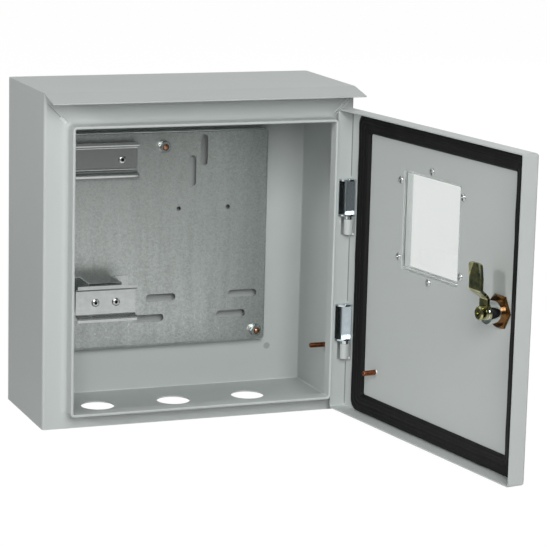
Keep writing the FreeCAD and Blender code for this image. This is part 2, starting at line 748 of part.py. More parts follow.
def lock_cam():
    """Cranked cam: a round root on the plug, a step off the door and a broad tip with one corner cut."""
    t = cam_sheet
    step = cam_offset
    profile = [(cam_back, -cam_root_radius), (cam_back, cam_crank_start),
               (cam_back + step, cam_crank_end), (cam_back + step, cam_length),
               (cam_back + step + t, cam_length), (cam_back + step + t, cam_crank_end),
               (cam_front, cam_crank_start), (cam_front, -cam_root_radius)]
    points = [(y, lock_z + z) for y, z in profile]
    half = cam_tip_width / 2
    bar = outline_yz(points, (lock_x - half, lock_x + half))
    zone = (cam_back, cam_back + step + t)
    crank = (cam_crank_start + cam_crank_end) / 2
    root = rod((lock_x, zone[0], lock_z), Y, 2 * cam_root_radius, zone[1] - zone[0])
    corner = cam_tip_corner
    outline = [(cam_root_radius, 0), (cam_root_radius, cam_crank_start), (half, crank), (half, cam_length),
               (corner - half, cam_length), (-half, cam_length - 2 * corner), (-half, crank),
               (-cam_root_radius, cam_crank_start), (-cam_root_radius, 0)]
    plan = outline_xz([(lock_x + x, lock_z + z) for x, z in outline], zone)
    cam = bar.common(plan.fuse(root))
    hole = (tang_size + 2 * tang_play) / 2
    square = block((lock_x - hole, lock_x + hole), (cam_back, cam_front), (lock_z - hole, lock_z + hole))
    return cam.cut(square)


def cam_screw():
    """Pan-head screw with a cross recess that clamps the cam on the tang."""
    seat = cam_front + cam_spring_washer_thickness
    head = rod((lock_x, seat, lock_z), Y, cam_screw_head, cam_screw_head_height)
    head = head.makeChamfer(cam_screw_head_chamfer, edges_at(head, "y", seat + cam_screw_head_height))
    length = cam_screw_length + cam_spring_washer_thickness
    screw = head.fuse(rod((lock_x, seat, lock_z), -Y, cam_screw_diameter, length)).removeSplitter()
    top = (seat + cam_screw_head_height - screw_recess_depth, seat + cam_screw_head_height)
    wide = screw_recess_length / 2
    thin = screw_recess_width / 2
    for half_x, half_z in ((wide, thin), (thin, wide)):
        screw = screw.cut(block((lock_x - half_x, lock_x + half_x), top, (lock_z - half_z, lock_z + half_z)))
    return screw


# Assembly


def body_pieces():
    """Everything that stays on the wall, by node name."""
    wrap, top_frame, floor = housing_sheets()
    studs, washers, springs, nuts = plate_fixings()
    plate = drill_for_rivets(mounting_plate(), upper_rail_height, upper_rivet_pitch, plate_front, plate_sheet)
    upper_rail, upper_rivets = rail_with_rivets(upper_rail_length, upper_rail_height, plate_front,
                                                upper_rivet_pitch, plate_sheet)
    lower_seat = plate_front - bracket_depth
    lower_rail, lower_rivets = rail_with_rivets(lower_rail_length, lower_rail_height, lower_seat,
                                                lower_rivet_pitch, bracket_sheet)
    wall_face = (half_width - sheet, -body_earth_from_wall, body_earth_height)
    pieces = {
        "body_wrap": [wrap],
        "top_frame": [top_frame],
        "floor_panel": [floor],
        "roof_panel": [roof_panel()],
        "mounting_plate": [plate],
        "plate_studs": studs,
        "plate_washers": washers,
        "plate_spring_washers": springs,
        "plate_nuts": nuts,
        "upper_din_rail": [upper_rail],
        "upper_rail_rivets": upper_rivets,
        "rail_bracket": [rail_bracket()],
        "lower_din_rail": [lower_rail],
        "lower_rail_rivets": lower_rivets,
        "body_earth_stud": [earth_stud(wall_face, -X, body_earth_length)],
    }
    for name, low in knuckle_low_heights.items():
        pieces[name + "_hinge_knuckle"] = [hinge_knuckle(low)]
    return pieces


def door_pieces():
    """Everything that swings with the door, modelled shut, by node name."""
    nut_hole = lock_barrel_diameter + lock_nut_play
    nut_place = (lock_x, door_inside, lock_z)
    cam_face = (lock_x, cam_front, lock_z)
    door_face = (door_hinge_edge - door_earth_from_edge, door_inside, door_earth_height)
    spring_bore = cam_screw_diameter + tang_play
    pieces = {
        "door_panel": [door_panel()],
        "door_gasket": [door_gasket()],
        "window_pane": [window_pane()],
        "window_rivets": window_rivets(),
        "hinge_washers": [hinge_washer(low) for low in knuckle_low_heights.values()],
        "door_earth_stud": [earth_stud(door_face, Y, door_earth_length)],
        "lock_housing": [lock_housing()],
        "lock_nut": [hex_nut(nut_place, Y, lock_nut_across_flats, nut_hole, lock_nut_thickness)],
        "lock_plug": [lock_plug()],
        "lock_cam": [lock_cam()],
        "cam_spring_washer": [split_ring(cam_face, Y, cam_spring_washer_diameter, spring_bore,
                                         cam_spring_washer_thickness, spring_washer_gap)],
        "cam_screw": [cam_screw()],
    }
    for name, low in knuckle_low_heights.items():
        pieces[name + "_hinge_bracket"] = [hinge_bracket(low)]
        pieces[name + "_hinge_pin"] = [hinge_pin(low)]
    return pieces


def write_piece(name, solids, opened):
    """Opens a door piece, lowers it to the origin and writes it as one STEP file."""
    shape = Part.makeCompound(solids) if len(solids) > 1 else solids[0]
    if opened:
        shape.rotate(FreeCAD.Vector(hinge_x, hinge_y, 0), Z, door_open_angle)
    shape.translate(FreeCAD.Vector(0, 0, -body_origin_height))
    shape.exportStep("parts/" + name + ".step")


def main():
    os.makedirs("parts", exist_ok=True)
    for name, solids in body_pieces().items():
        write_piece(name, solids, opened=False)
    for name, solids in door_pieces().items():
        write_piece(name, solids, opened=True)


main()
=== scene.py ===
"""Finishes, small worked pieces and a plain studio for a wall-mounted sheet-steel meter box."""
import json
import math

import bmesh
import bpy
import numpy as np
from bpy.props import FloatProperty, FloatVectorProperty, PointerProperty, StringProperty
from bpy.types import Operator, Panel, PropertyGroup
from mathutils import Matrix, Vector


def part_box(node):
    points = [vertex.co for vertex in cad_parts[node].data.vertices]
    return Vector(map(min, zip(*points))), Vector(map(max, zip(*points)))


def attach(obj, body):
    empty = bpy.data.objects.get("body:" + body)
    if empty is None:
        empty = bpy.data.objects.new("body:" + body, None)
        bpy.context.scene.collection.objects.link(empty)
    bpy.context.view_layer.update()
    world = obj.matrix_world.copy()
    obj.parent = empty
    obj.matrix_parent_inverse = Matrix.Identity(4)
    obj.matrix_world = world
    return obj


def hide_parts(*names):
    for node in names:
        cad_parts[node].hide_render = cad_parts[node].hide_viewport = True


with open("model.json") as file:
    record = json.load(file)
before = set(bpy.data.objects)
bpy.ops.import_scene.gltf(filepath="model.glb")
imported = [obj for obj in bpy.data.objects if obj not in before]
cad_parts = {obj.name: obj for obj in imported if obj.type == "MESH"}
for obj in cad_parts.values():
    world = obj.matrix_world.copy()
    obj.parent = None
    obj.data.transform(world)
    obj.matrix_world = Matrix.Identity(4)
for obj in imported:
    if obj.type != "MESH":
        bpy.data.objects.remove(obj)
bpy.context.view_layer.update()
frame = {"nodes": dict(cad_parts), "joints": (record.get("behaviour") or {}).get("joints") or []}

bl_info = {
    "name": "Meter box finishes",
    "version": (1, 0, 0),
    "blender": (4, 5, 0),
    "location": "View3D > Sidebar > Meter box",
    "description": "Finishes, threads, welds and seal of a folded-steel meter box, with its studio",
    "category": "Object",
}

# Facts read from the frame, in metres and radians
door_joint = next(joint for joint in frame["joints"] if joint["name"] == "door_swing")
hinge_point = np.array(door_joint["pos_m"])
open_angle = -math.radians(door_joint["range_deg"][0])
door_inward = np.array([-math.sin(open_angle), math.cos(open_angle), 0.0])
door_along = np.array([-math.cos(open_angle), -math.sin(open_angle), 0.0])
floor_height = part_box("floor_panel")[0].z
rim_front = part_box("body_wrap")[0].y

# Plain values
mm = 0.001
diagonal = math.sqrt(0.5)
even = (1.0, 1.0, 1.0)
photo_side = 547
sensor_width = 36.0


def length(name, description, millimetres):
    """A length that a user may change, given in millimetres and kept in metres."""
    return FloatProperty(name=name, description=description, default=millimetres * mm, unit="LENGTH",
                         precision=5)


def colour(name, description, hex_text):
    """A colour that a user may change, as sRGB hex."""
    return StringProperty(name=name, description=description, default=hex_text)


class MeterBoxFinishes(PropertyGroup):
    """Colours of the finishes, as sRGB hex."""
    paint: colour("Paint", "Light grey powder coat", "C7CCCA")
    paint_shade: colour("Paint shade", "Slightly deeper patches of the coat", "C2C8C6")
    # Painted shade: these two darker coats stand in for the shade in the mitre's gap, along the door flange's
    # inside fold, at the pane's fold and in the knock-outs.
    seam_painted_shade: colour("Seam shade", "Coat that has run thin in seams and creases", "8F9390")
    seam_painted_shade_deep: colour("Seam depth", "Thinnest coat in seams and creases", "898D8A")
    # Painted highlight: this lighter coat on the weld beads and tacks stands in for the glints on their
    # crowns.
    weld_painted_highlight: colour("Thick coat", "Coat that has pooled on the welds", "E4E8E6")
    # Painted shade: this slightly darker coat on the knock-out discs stands in for the shade in the recessed
    # holes.
    knockout_painted_shade: colour("Knock-out coat", "Thinner coat on the discs in the wall holes", "BABFBD")
    flash: colour("Weld flash", "Bright collar round a welded stud", "DADCDA")
    zinc_sheet: colour("Galvanised sheet", "Mean grey of the mounting plate", "C5CBC8")
    zinc_plate: colour("Zinc plate", "Bright plate on rails and fasteners", "C6CAC8")
    hinge_plate: colour("Hinge plate", "Bluish bright plate on the hinges", "D6DDE0")
    aluminium: colour("Aluminium", "Plain rivets", "CDCFCE")
    copper: colour("Copper flash", "Thin copper on the welded studs", "9C6242")
    copper_dark: colour("Copper shade", "Duller patches of the copper", "5E3624")
    # Painted highlight: this lighter copper on the plate's studs stands in for the glint on their ends.
    copper_painted_highlight: colour("Bright copper", "Copper rubbed clean on the plate's studs", "D2A184")
    yellow_zinc: colour("Yellow zinc", "Passivated lock cam and screw", "C4BC80")
    olive_zinc: colour("Olive zinc", "Greener patches of the passivation", "6A7466")
    brown_zinc: colour("Brown zinc", "Darker passivation of the lock nut", "80592E")
    brown_shade: colour("Brown shade", "Duller patches of the nut", "523619")
    chrome: colour("Chrome", "Lock barrel", "ECEEEE")
    rubber: colour("Rubber", "Dusty parts of the seal", "121312")
    # Also the deep colour of the mandrels' steel, where it darkens the rivet holes as painted shade.
    seal_black_and_hole_shade: colour("Rubber shade", "Deep black of the seal", "0A0B0A")
    pane: colour("Pane", "Clear face of the window", "EBEEEC")
    # Painted shade: this grey on the pane's walls and flange stands in for the darkening by their
    # refractions.
    pane_wall_painted_shade: colour("Pane wall", "Drawn walls of the window, where the sheet is stressed", "B8BEBB")
    # Painted shade: the mandrels are near black to stand in for the shade deep in the rivet holes.
    mandrel: colour("Mandrel", "Broken steel in a rivet's hole", "262625")


class MeterBoxSizes(PropertyGroup):
    """Sizes of the small worked pieces, and the places on the sheet that they follow."""
    rim_side: length("Rim side", "Outside of the rim from the middle", 128.2)
    rim_top: length("Rim top", "Outside of the rim above the origin", 130.7)
    rim_corner: length("Rim corner", "Outside radius of the rim's corners", 4.2)
    rim_root: length("Rim root", "Radius between front strip and rim", 5.0)
    front_strip: length("Front strip", "Front strip ahead of the back face", 121.0)
    fold_side: length("Fold side", "Where the front strip starts to fold back", 147.4)
    sheet: length("Sheet", "Thickness of the folded steel", 1.2)
    seam_width: length("Seam width", "Open line of a mitre", 0.55)
    weld_width: length("Weld width", "Bead along a weld", 1.7)
    weld_height: length("Weld height", "Bead above the sheet", 0.5)
    weld_ripple: length("Weld ripple", "Spacing of the ripples of a bead", 3.4)
    tack: length("Tack", "Radius of a tack weld", 1.4)
    knockout: length("Knock-out", "Radius of the discs in the wall holes", 3.2)
    wall_reach: length("Wall reach", "Wall holes from the middle, across and up", 115.0)
    rail_sheet: length("Rail sheet", "Thickness of the rails' strip", 1.0)
    rail_head: length("Rail rivet head", "Height of a rail rivet's head in the solids", 1.3)
    rail_dome: length("Rail rivet dome", "Height of a rail rivet's domed head", 1.5)
    mandrel: length("Mandrel hole", "Radius of the hole in a rivet's head", 1.45)
    coarse_pitch: length("Coarse pitch", "Thread of the plate's studs", 1.0)
    fine_pitch: length("Fine pitch", "Thread of the earth studs", 0.8)
    seal_ridge: length("Seal ridge", "Height of the lengthwise ridges of the seal", 0.22)
    seal_dent: length("Seal dent", "Mark that the rim leaves in the seal", 0.7)
    pane_face: length("Pane face", "Flat face of the pane from its middle, to its fold", 44.0)
    cam_sheet: length("Cam sheet", "Thickness of the lock's cam", 2.5)
    cam_root: length("Cam root", "Radius of the cam's round end", 6.0)


class MeterBoxStudio(PropertyGroup):
    """Camera and lights."""
    camera_place: FloatVectorProperty(name="Camera place", description="Where the camera stands",
                                      default=(-0.747216, -2.200581, 0.439746), unit="LENGTH", precision=5)
    yaw: FloatProperty(name="Yaw", description="Turn to the right of straight back",
                       default=math.radians(21.532), subtype="ANGLE")
    pitch: FloatProperty(name="Pitch", description="Turn downwards", default=math.radians(11.519),
                         subtype="ANGLE")
    roll: FloatProperty(name="Roll", description="Turn about the view axis", default=math.radians(1.456),
                        subtype="ANGLE")
    focal_pixels: FloatProperty(name="Focal length", description="In pixels of the photograph's frame",
                                default=2437.1, subtype="PIXEL")
    room: FloatProperty(name="Room", description="Level of the room in front, as metal reflects it",
                        default=0.13, min=0.0, max=1.0, subtype="FACTOR")
    front_power: FloatProperty(name="Front power", description="Soft light in front, in watts", default=34.0,
                               unit="POWER")
    left_power: FloatProperty(name="Left power", description="Soft light to the left, in watts", default=37.0,
                              unit="POWER")
    top_power: FloatProperty(name="Top power", description="Soft light above, in watts", default=8.0,
                             unit="POWER")
    back_power: FloatProperty(name="Back power", description="Soft light behind, in watts", default=28.0,
                              unit="POWER")


# Points and patches

def node_points(node):
    """Vertices of a CAD node as an array of points."""
    mesh = frame["nodes"][node].data
    flat = np.empty(len(mesh.vertices) * 3, np.float32)
    mesh.vertices.foreach_get("co", flat)
    return flat.reshape(-1, 3).astype(float)


def swing(points, angle):
    """Points turned about the door's upright hinge line: x and y rotate, z stays."""
    c, s = math.cos(angle), math.sin(angle)
    away = points - hinge_point
    turned = np.stack([c * away[..., 0] - s * away[..., 1], s * away[..., 0] + c * away[..., 1],
                       away[..., 2]], axis=-1)
    return turned + hinge_point


def solid_boxes(node, reach, shut=False):
    """Lowest and highest corners of each separate solid of a node, whose points lie within a reach."""
    points = node_points(node)
    if shut:
        points = swing(points, -open_angle)
    boxes = []
    while len(points):
        near = np.linalg.norm(points - points[0], axis=1) < reach
        boxes.append((points[near].min(0), points[near].max(0)))
        points = points[~near]
    return boxes


def grid(points, wrap_rows=False, wrap_columns=False):
    """Patch over a grid of points: each four neighbours make a face, and either way may close."""
    rows, columns = points.shape[:2]
    index = np.arange(rows * columns).reshape(rows, columns)
    if wrap_rows:
        index = np.vstack([index, index[:1]])
    if wrap_columns:
        index = np.hstack([index, index[:, :1]])
    faces = np.stack([index[:-1, :-1], index[:-1, 1:], index[1:, 1:], index[1:, :-1]], axis=-1)
    return points.reshape(-1, 3), faces.reshape(-1, 4)


def around(place, axis, rise, reach):
    """Patch round an axis: row i stands at rise[i], and its point j lies at reach[i, j] from the axis."""
    axis = np.asarray(axis, float)
    first = np.cross(axis, [0.0, 0.0, 1.0] if abs(axis[2]) < 0.9 else [1.0, 0.0, 0.0])
    first /= np.linalg.norm(first)
    second = np.cross(axis, first)
    turn = np.linspace(0, 2 * np.pi, reach.shape[1], endpoint=False)
    circle = np.cos(turn)[:, None] * first + np.sin(turn)[:, None] * second
    points = np.asarray(place, float) + rise[:, None, None] * axis + reach[..., None] * circle
    return grid(points, wrap_columns=True)


def lathe(profile, place, axis, segments=40):
    """Turned patch: each (radius, height) of a profile goes round the axis as a circle."""
    profile = np.asarray(profile, float)
    return around(place, axis, profile[:, 1], np.repeat(profile[:, :1], segments, axis=1))


def oval(centre, across, up, start, end, count=9):
    """Profile points on an ellipse about a (radius, height), from one angle in degrees to another."""
    turn = np.radians(np.linspace(start, end, count))
    return [(centre[0] + across * c, centre[1] + up * s) for c, s in zip(np.cos(turn), np.sin(turn))]


def smooth(share):
    """Eases a share from 0 to 1 on a cubic with level ends."""
    return share ** 2 * (3 - 2 * share)


def threaded_rod(place, axis, radius, reach, pitch, segments=32, steps=10):
    """Threaded patch: the radius falls from crest to root as height less turn goes through each pitch.

    Over the last pitch it stays at the root, and a low dome ends it; both ends close on the axis.
    """
    depth = 0.54 * pitch
    crown = 0.3 * radius
    straight_reach = reach - crown
    rise = np.linspace(0, straight_reach, round(straight_reach / pitch * steps) + 1)
    turn = np.linspace(0, 1, segments, endpoint=False)
    phase = (rise[:, None] / pitch - turn) % 1.0
    wave = np.clip(1.5 * np.abs(2 * phase - 1) - 0.25, 0, 1)
    point = np.clip(1 - (straight_reach - rise) / pitch, 0, 1)[:, None]
    body = radius - depth * np.maximum(wave, point)
    pole = np.zeros((1, segments))
    dome = np.linspace(0, np.pi / 2, 7)[1:, None]
    cap = body[-1] * np.cos(dome)
    cap_rise = straight_reach + crown * np.sin(dome[:, 0])
    return around(place, axis, np.concatenate([[0], rise, cap_rise]), np.vstack([pole, body, cap]))


def bead(line, outward, width, height, ripple):
    """Weld bead: half an ellipse carried along a line, swelling at even steps and tapered at both ends."""
    along = np.gradient(line, axis=0)
    steps = np.linalg.norm(along, axis=1, keepdims=True)
    side = np.cross(along / steps, outward)
    run = np.cumsum(steps[:, 0])
    share = (run - run[0]) / (run[-1] - run[0])
    swell = 1 + 0.1 * np.sin(2 * np.pi * run / ripple)
    taper = np.sqrt(np.clip(1 - np.abs(2 * share - 1) ** 16, 0, 1))
    turn = np.linspace(0, np.pi, 9)
    section = np.cos(turn)[:, None] * side[:, None] * width / 2
    section = section + np.sin(turn)[:, None] * outward[:, None] * height
    return grid(line[:, None] + (swell * taper)[:, None, None] * section, wrap_columns=True)


def straight(start, end, count=90):
    """Even points on a line."""
    share = np.linspace(0, 1, count)[:, None]
    return np.asarray(start, float) * (1 - share) + np.asarray(end, float) * share


def rounded_loop(low, high, radius, side_count=46, corner_count=10):
    """Closed loop of (x, z) points round a rectangle: straight sides between quarter circles."""
    corners = ((high[0], high[1], 0), (low[0], high[1], 90), (low[0], low[1], 180), (high[0], low[1], 270))
    loop = []
    for x, z, start in corners:
        inward = np.sign([low[0] + high[0] - 2 * x, low[1] + high[1] - 2 * z])
        turn = np.radians(np.linspace(start, start + 90, corner_count))
        centre = np.array([x, z]) + inward * radius
        loop.append(centre + radius * np.stack([np.cos(turn), np.sin(turn)], axis=1))
    full = []
    for arc, following in zip(loop, loop[1:] + loop[:1]):
        full.append(arc)
        full.append(straight(arc[-1], following[0], side_count + 2)[1:-1])
    return np.concatenate(full)


def make_piece(name, patches, material, body, replaces=(), sharp=40.0):
    """Joins patches into one mesh piece, welds seams and poles, and puts it on its body."""
    starts = np.cumsum([0] + [len(verts) for verts, faces in patches[:-1]])
    verts = np.concatenate([verts for verts, faces in patches])
    faces = np.concatenate([faces + start for (_, faces), start in zip(patches, starts)])
    mesh = bpy.data.meshes.new(name)
    mesh.from_pydata(verts, [], faces.tolist())
    work = bmesh.new()
    work.from_mesh(mesh)
    bmesh.ops.remove_doubles(work, verts=work.verts, dist=1e-6)
    bmesh.ops.dissolve_degenerate(work, edges=work.edges, dist=1e-7)
    bmesh.ops.recalc_face_normals(work, faces=work.faces)
    work.to_mesh(mesh)
    work.free()
    mesh.shade_smooth()
    mesh.set_sharp_from_angle(angle=math.radians(sharp))
    mesh.materials.append(material)
    piece = bpy.data.objects.new(name, mesh)
    bpy.context.scene.collection.objects.link(piece)
    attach(piece, body)
    if replaces:
        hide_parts(*replaces)


# Materials

def linear(text):
    """Linear colour, with alpha 1, of an sRGB hex text."""
    values = [int(text[start:start + 2], 16) / 255 for start in (0, 2, 4)]
    bent = [v / 12.92 if v <= 0.04045 else ((v + 0.055) / 1.055) ** 2.4 for v in values]
    return (*bent, 1.0)


def add(tree, kind, inputs=None, **settings):
    """Adds a shader node with its settings, and sets each input to a value or links it to (node, output)."""
    node = tree.nodes.new("ShaderNode" + kind)
    for key, value in settings.items():
        setattr(node, key, value)
    for key, value in (inputs or {}).items():
        if isinstance(value, tuple) and isinstance(value[0], bpy.types.Node):
            tree.links.new(value[0].outputs[value[1]], node.inputs[key])
        else:
            node.inputs[key].default_value = value
    return node


def new_material(name):
    """An empty material with its node tree and the output of its object coordinates."""
    material = bpy.data.materials.new(name)
    material.use_nodes = True
    material.node_tree.nodes.clear()
    place = add(material.node_tree, "TexCoord")
    return material, material.node_tree, (place, "Object")


def per_mm(size):
    """Texture scale whose features are about a size in millimetres."""
    return 1 / (size * mm)


def finish_with(material, shader):
    """Links a shader to the material's output, and returns the material."""
    add(material.node_tree, "OutputMaterial", {"Surface": (shader, 0)})
    return material


def powder_coat(name, light, deep):
    # Polyester powder coat on steel: satin, with the slight orange peel of melted powder
    material, tree, place = new_material(name)
    cloud = add(tree, "TexNoise", {"Vector": place, "Scale": per_mm(70), "Detail": 2.0})
    tone = add(tree, "Mix", {0: (cloud, 0), 6: linear(deep), 7: linear(light)}, data_type="RGBA")
    # Real orange peel is about 1 mm across; 1.8 mm still shows at this distance
    peel = add(tree, "TexNoise", {"Vector": place, "Scale": per_mm(1.8), "Detail": 1.0})
    bump = add(tree, "Bump", {"Height": (peel, 0), "Strength": 0.12, "Distance": 0.05 * mm})
    gloss = add(tree, "MapRange", {"Value": (peel, 0), "To Min": 0.48, "To Max": 0.60})
    shader = add(tree, "BsdfPrincipled", {"Base Color": (tone, 2), "Roughness": (gloss, 0),
                                          "Normal": (bump, 0), "Specular IOR Level": 0.35})
    return finish_with(material, shader)


def galvanised_sheet(finishes):
    # Hot-dip galvanised steel with minimised spangle: dull silver, finely mottled and faintly streaked
    material, tree, place = new_material("galvanised sheet steel")
    spangle = add(tree, "TexVoronoi", {"Vector": place, "Scale": per_mm(1.7)})
    cell = add(tree, "SeparateColor", {"Color": (spangle, "Color")})
    grain = add(tree, "TexNoise", {"Vector": place, "Scale": per_mm(0.9), "Detail": 3.0})
    stretch = add(tree, "Mapping", {"Vector": place, "Scale": (1.0, 1.0, 0.12)})
    streak = add(tree, "TexNoise", {"Vector": (stretch, 0), "Scale": per_mm(9), "Detail": 3.0})
    mixed = add(tree, "Math", {0: (cell, 0), 1: 0.35, 2: (grain, 0)}, operation="MULTIPLY_ADD")
    mottle = add(tree, "Math", {0: (streak, 0), 1: 0.7, 2: (mixed, 0)}, operation="MULTIPLY_ADD")
    ramp = add(tree, "MapRange", {"Value": (mottle, 0), "From Min": 0.6, "From Max": 1.5, "To Min": 0.72,
                                  "To Max": 1.2})
    tone = add(tree, "VectorMath", {0: linear(finishes.zinc_sheet)[:3], "Scale": (ramp, 0)},
               operation="SCALE")
    gloss = add(tree, "MapRange", {"Value": (mottle, 0), "From Min": 0.6, "From Max": 1.5, "To Min": 0.40,
                                   "To Max": 0.25})
    bump = add(tree, "Bump", {"Height": (mixed, 0), "Strength": 0.10, "Distance": 0.04 * mm})
    shader = add(tree, "BsdfPrincipled", {"Base Color": (tone, 0), "Roughness": (gloss, 0),
                                          "Metallic": 0.85, "Normal": (bump, 0)})
    return finish_with(material, shader)


def bright_plate(name, hex_text, roughness, lines):
    # Bright plate on rolled strip: silvery, with fine rolling lines that soften its reflections
    material, tree, place = new_material(name)
    stretch = add(tree, "Mapping", {"Vector": place, "Scale": lines})
    rolled = add(tree, "TexNoise", {"Vector": (stretch, 0), "Scale": per_mm(0.8), "Detail": 2.0})
    cloud = add(tree, "TexNoise", {"Vector": place, "Scale": per_mm(6), "Detail": 3.0})
    blend = add(tree, "Math", {0: (rolled, 0), 1: 0.5, 2: (cloud, 0)}, operation="MULTIPLY_ADD")
    level = add(tree, "MapRange", {"Value": (blend, 0), "From Min": 0.4, "From Max": 1.1, "To Min": 0.92,
                                   "To Max": 1.04})
    tone = add(tree, "VectorMath", {0: linear(hex_text)[:3], "Scale": (level, 0)}, operation="SCALE")
    gloss = add(tree, "MapRange", {"Value": (blend, 0), "From Min": 0.4, "From Max": 1.1,
                                   "To Min": roughness * 1.1, "To Max": roughness * 0.9})
    bump = add(tree, "Bump", {"Height": (rolled, 0), "Strength": 0.03, "Distance": 0.02 * mm})
    shader = add(tree, "BsdfPrincipled", {"Base Color": (tone, 0), "Roughness": (gloss, 0), "Metallic": 1.0,
                                          "Normal": (bump, 0)})
    return finish_with(material, shader)


def tinted_metal(name, light, deep, roughness, patch):
    # Thin plating whose tint drifts in soft patches, as copper flash and chromate passivation do
    material, tree, place = new_material(name)
    drift = add(tree, "TexNoise", {"Vector": place, "Scale": per_mm(patch), "Detail": 3.0})
    sharper = add(tree, "MapRange", {"Value": (drift, 0), "From Min": 0.32, "From Max": 0.68})
    tone = add(tree, "Mix", {0: (sharper, 0), 6: linear(deep), 7: linear(light)}, data_type="RGBA")
    fine = add(tree, "TexNoise", {"Vector": place, "Scale": per_mm(0.5), "Detail": 2.0})
    gloss = add(tree, "MapRange", {"Value": (fine, 0), "To Min": roughness * 0.6,
                                   "To Max": roughness * 1.4})
    shader = add(tree, "BsdfPrincipled", {"Base Color": (tone, 2), "Roughness": (gloss, 0),
                                          "Metallic": 1.0})
    return finish_with(material, shader)


def seal_rubber(finishes):
    # Foamed-in-place black rubber: matt skin with fine cells and a dusty sheen
    material, tree, place = new_material("black cellular rubber")
    cells = add(tree, "TexVoronoi", {"Vector": place, "Scale": per_mm(0.8)})
    dust = add(tree, "TexNoise", {"Vector": place, "Scale": per_mm(14), "Detail": 4.0})
    deep, light = linear(finishes.seal_black_and_hole_shade), linear(finishes.rubber)
    tone = add(tree, "Mix", {0: (dust, 0), 6: deep, 7: light}, data_type="RGBA")
    bump = add(tree, "Bump", {"Height": (cells, 0), "Strength": 0.25, "Distance": 0.1 * mm})
    gloss = add(tree, "MapRange", {"Value": (dust, 0), "To Min": 0.5, "To Max": 0.72})
    shader = add(tree, "BsdfPrincipled", {"Base Color": (tone, 2), "Roughness": (gloss, 0),
                                          "Normal": (bump, 0), "Specular IOR Level": 0.2})
    return finish_with(material, shader)


def clear_pane(finishes, sizes):
    # Vacuum-formed clear sheet: glossy with a slight ripple. Its walls and the flange round its face are
    # greyer, a painted shade for how their refractions darken them, and a dark line of painted shade runs
    # round its face at the fold
    blur, fold_line = 0.5 * mm, 0.7 * mm
    material, tree, place = new_material("clear formed plastic")
    ripple = add(tree, "TexNoise", {"Vector": place, "Scale": per_mm(25), "Detail": 1.0})
    bump = add(tree, "Bump", {"Height": (ripple, 0), "Strength": 0.05, "Distance": 0.2 * mm})
    facing = add(tree, "VectorMath", {0: (place[0], "Normal"), 1: tuple(door_inward)},
                 operation="DOT_PRODUCT")
    flat = add(tree, "Math", {0: (facing, "Value")}, operation="ABSOLUTE")
    low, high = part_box("window_pane")
    middle = (low + high) / 2
    from_middle = add(tree, "VectorMath", {0: place, 1: middle}, operation="SUBTRACT")
    along = add(tree, "VectorMath", {0: (from_middle, 0), 1: tuple(door_along)}, operation="DOT_PRODUCT")
    height = add(tree, "SeparateXYZ", {0: (from_middle, 0)})
    side = add(tree, "Math", {0: (along, "Value")}, operation="ABSOLUTE")
    end = add(tree, "Math", {0: (height, "Z")}, operation="ABSOLUTE")
    out = add(tree, "Math", {0: (side, 0), 1: (end, 0)}, operation="MAXIMUM")
    face = add(tree, "MapRange", {"Value": (out, 0), "From Min": sizes.pane_face - blur,
                                  "From Max": sizes.pane_face + blur, "To Min": 1.0, "To Max": 0.0})
    clear = add(tree, "Math", {0: (flat, 0), 1: (face, 0)}, operation="MINIMUM")
    gloss = add(tree, "MapRange", {"Value": (clear, 0), "To Min": 0.55, "To Max": 0.03})
    # Painted shade: grey on the walls and on the flange outside the face, by the facing and the distance from
    # the middle.
    wall, pane = linear(finishes.pane_wall_painted_shade), linear(finishes.pane)
    sheet = add(tree, "Mix", {0: (clear, 0), 6: wall, 7: pane}, data_type="RGBA")
    # Painted shade: a dark line at the fold round the face.
    from_fold = add(tree, "Math", {0: (out, 0), 1: sizes.pane_face}, operation="SUBTRACT")
    fold = add(tree, "Math", {0: (from_fold, 0)}, operation="ABSOLUTE")
    dark = add(tree, "MapRange", {"Value": (fold, 0), "From Max": fold_line, "To Min": 0.75, "To Max": 0.0})
    line = add(tree, "Math", {0: (dark, 0), 1: (flat, 0)}, operation="MULTIPLY")
    tone = add(tree, "Mix", {0: (line, 0), 6: (sheet, 2), 7: linear(finishes.seam_painted_shade)}, data_type="RGBA")
    shader = add(tree, "BsdfPrincipled", {"Base Color": (tone, 2), "Roughness": (gloss, 0),
                                          "Normal": (bump, 0), "IOR": 1.49, "Transmission Weight": 1.0})
    return finish_with(material, shader)


def dress(material, *nodes):
    """Gives CAD nodes a finished material."""
    for node in nodes:
        for slot in frame["nodes"][node].material_slots:
            slot.material = material


# Operators

def settings(context):
    """The finishes and the sizes that the scene holds."""
    return context.scene.meter_box_finishes, context.scene.meter_box_sizes


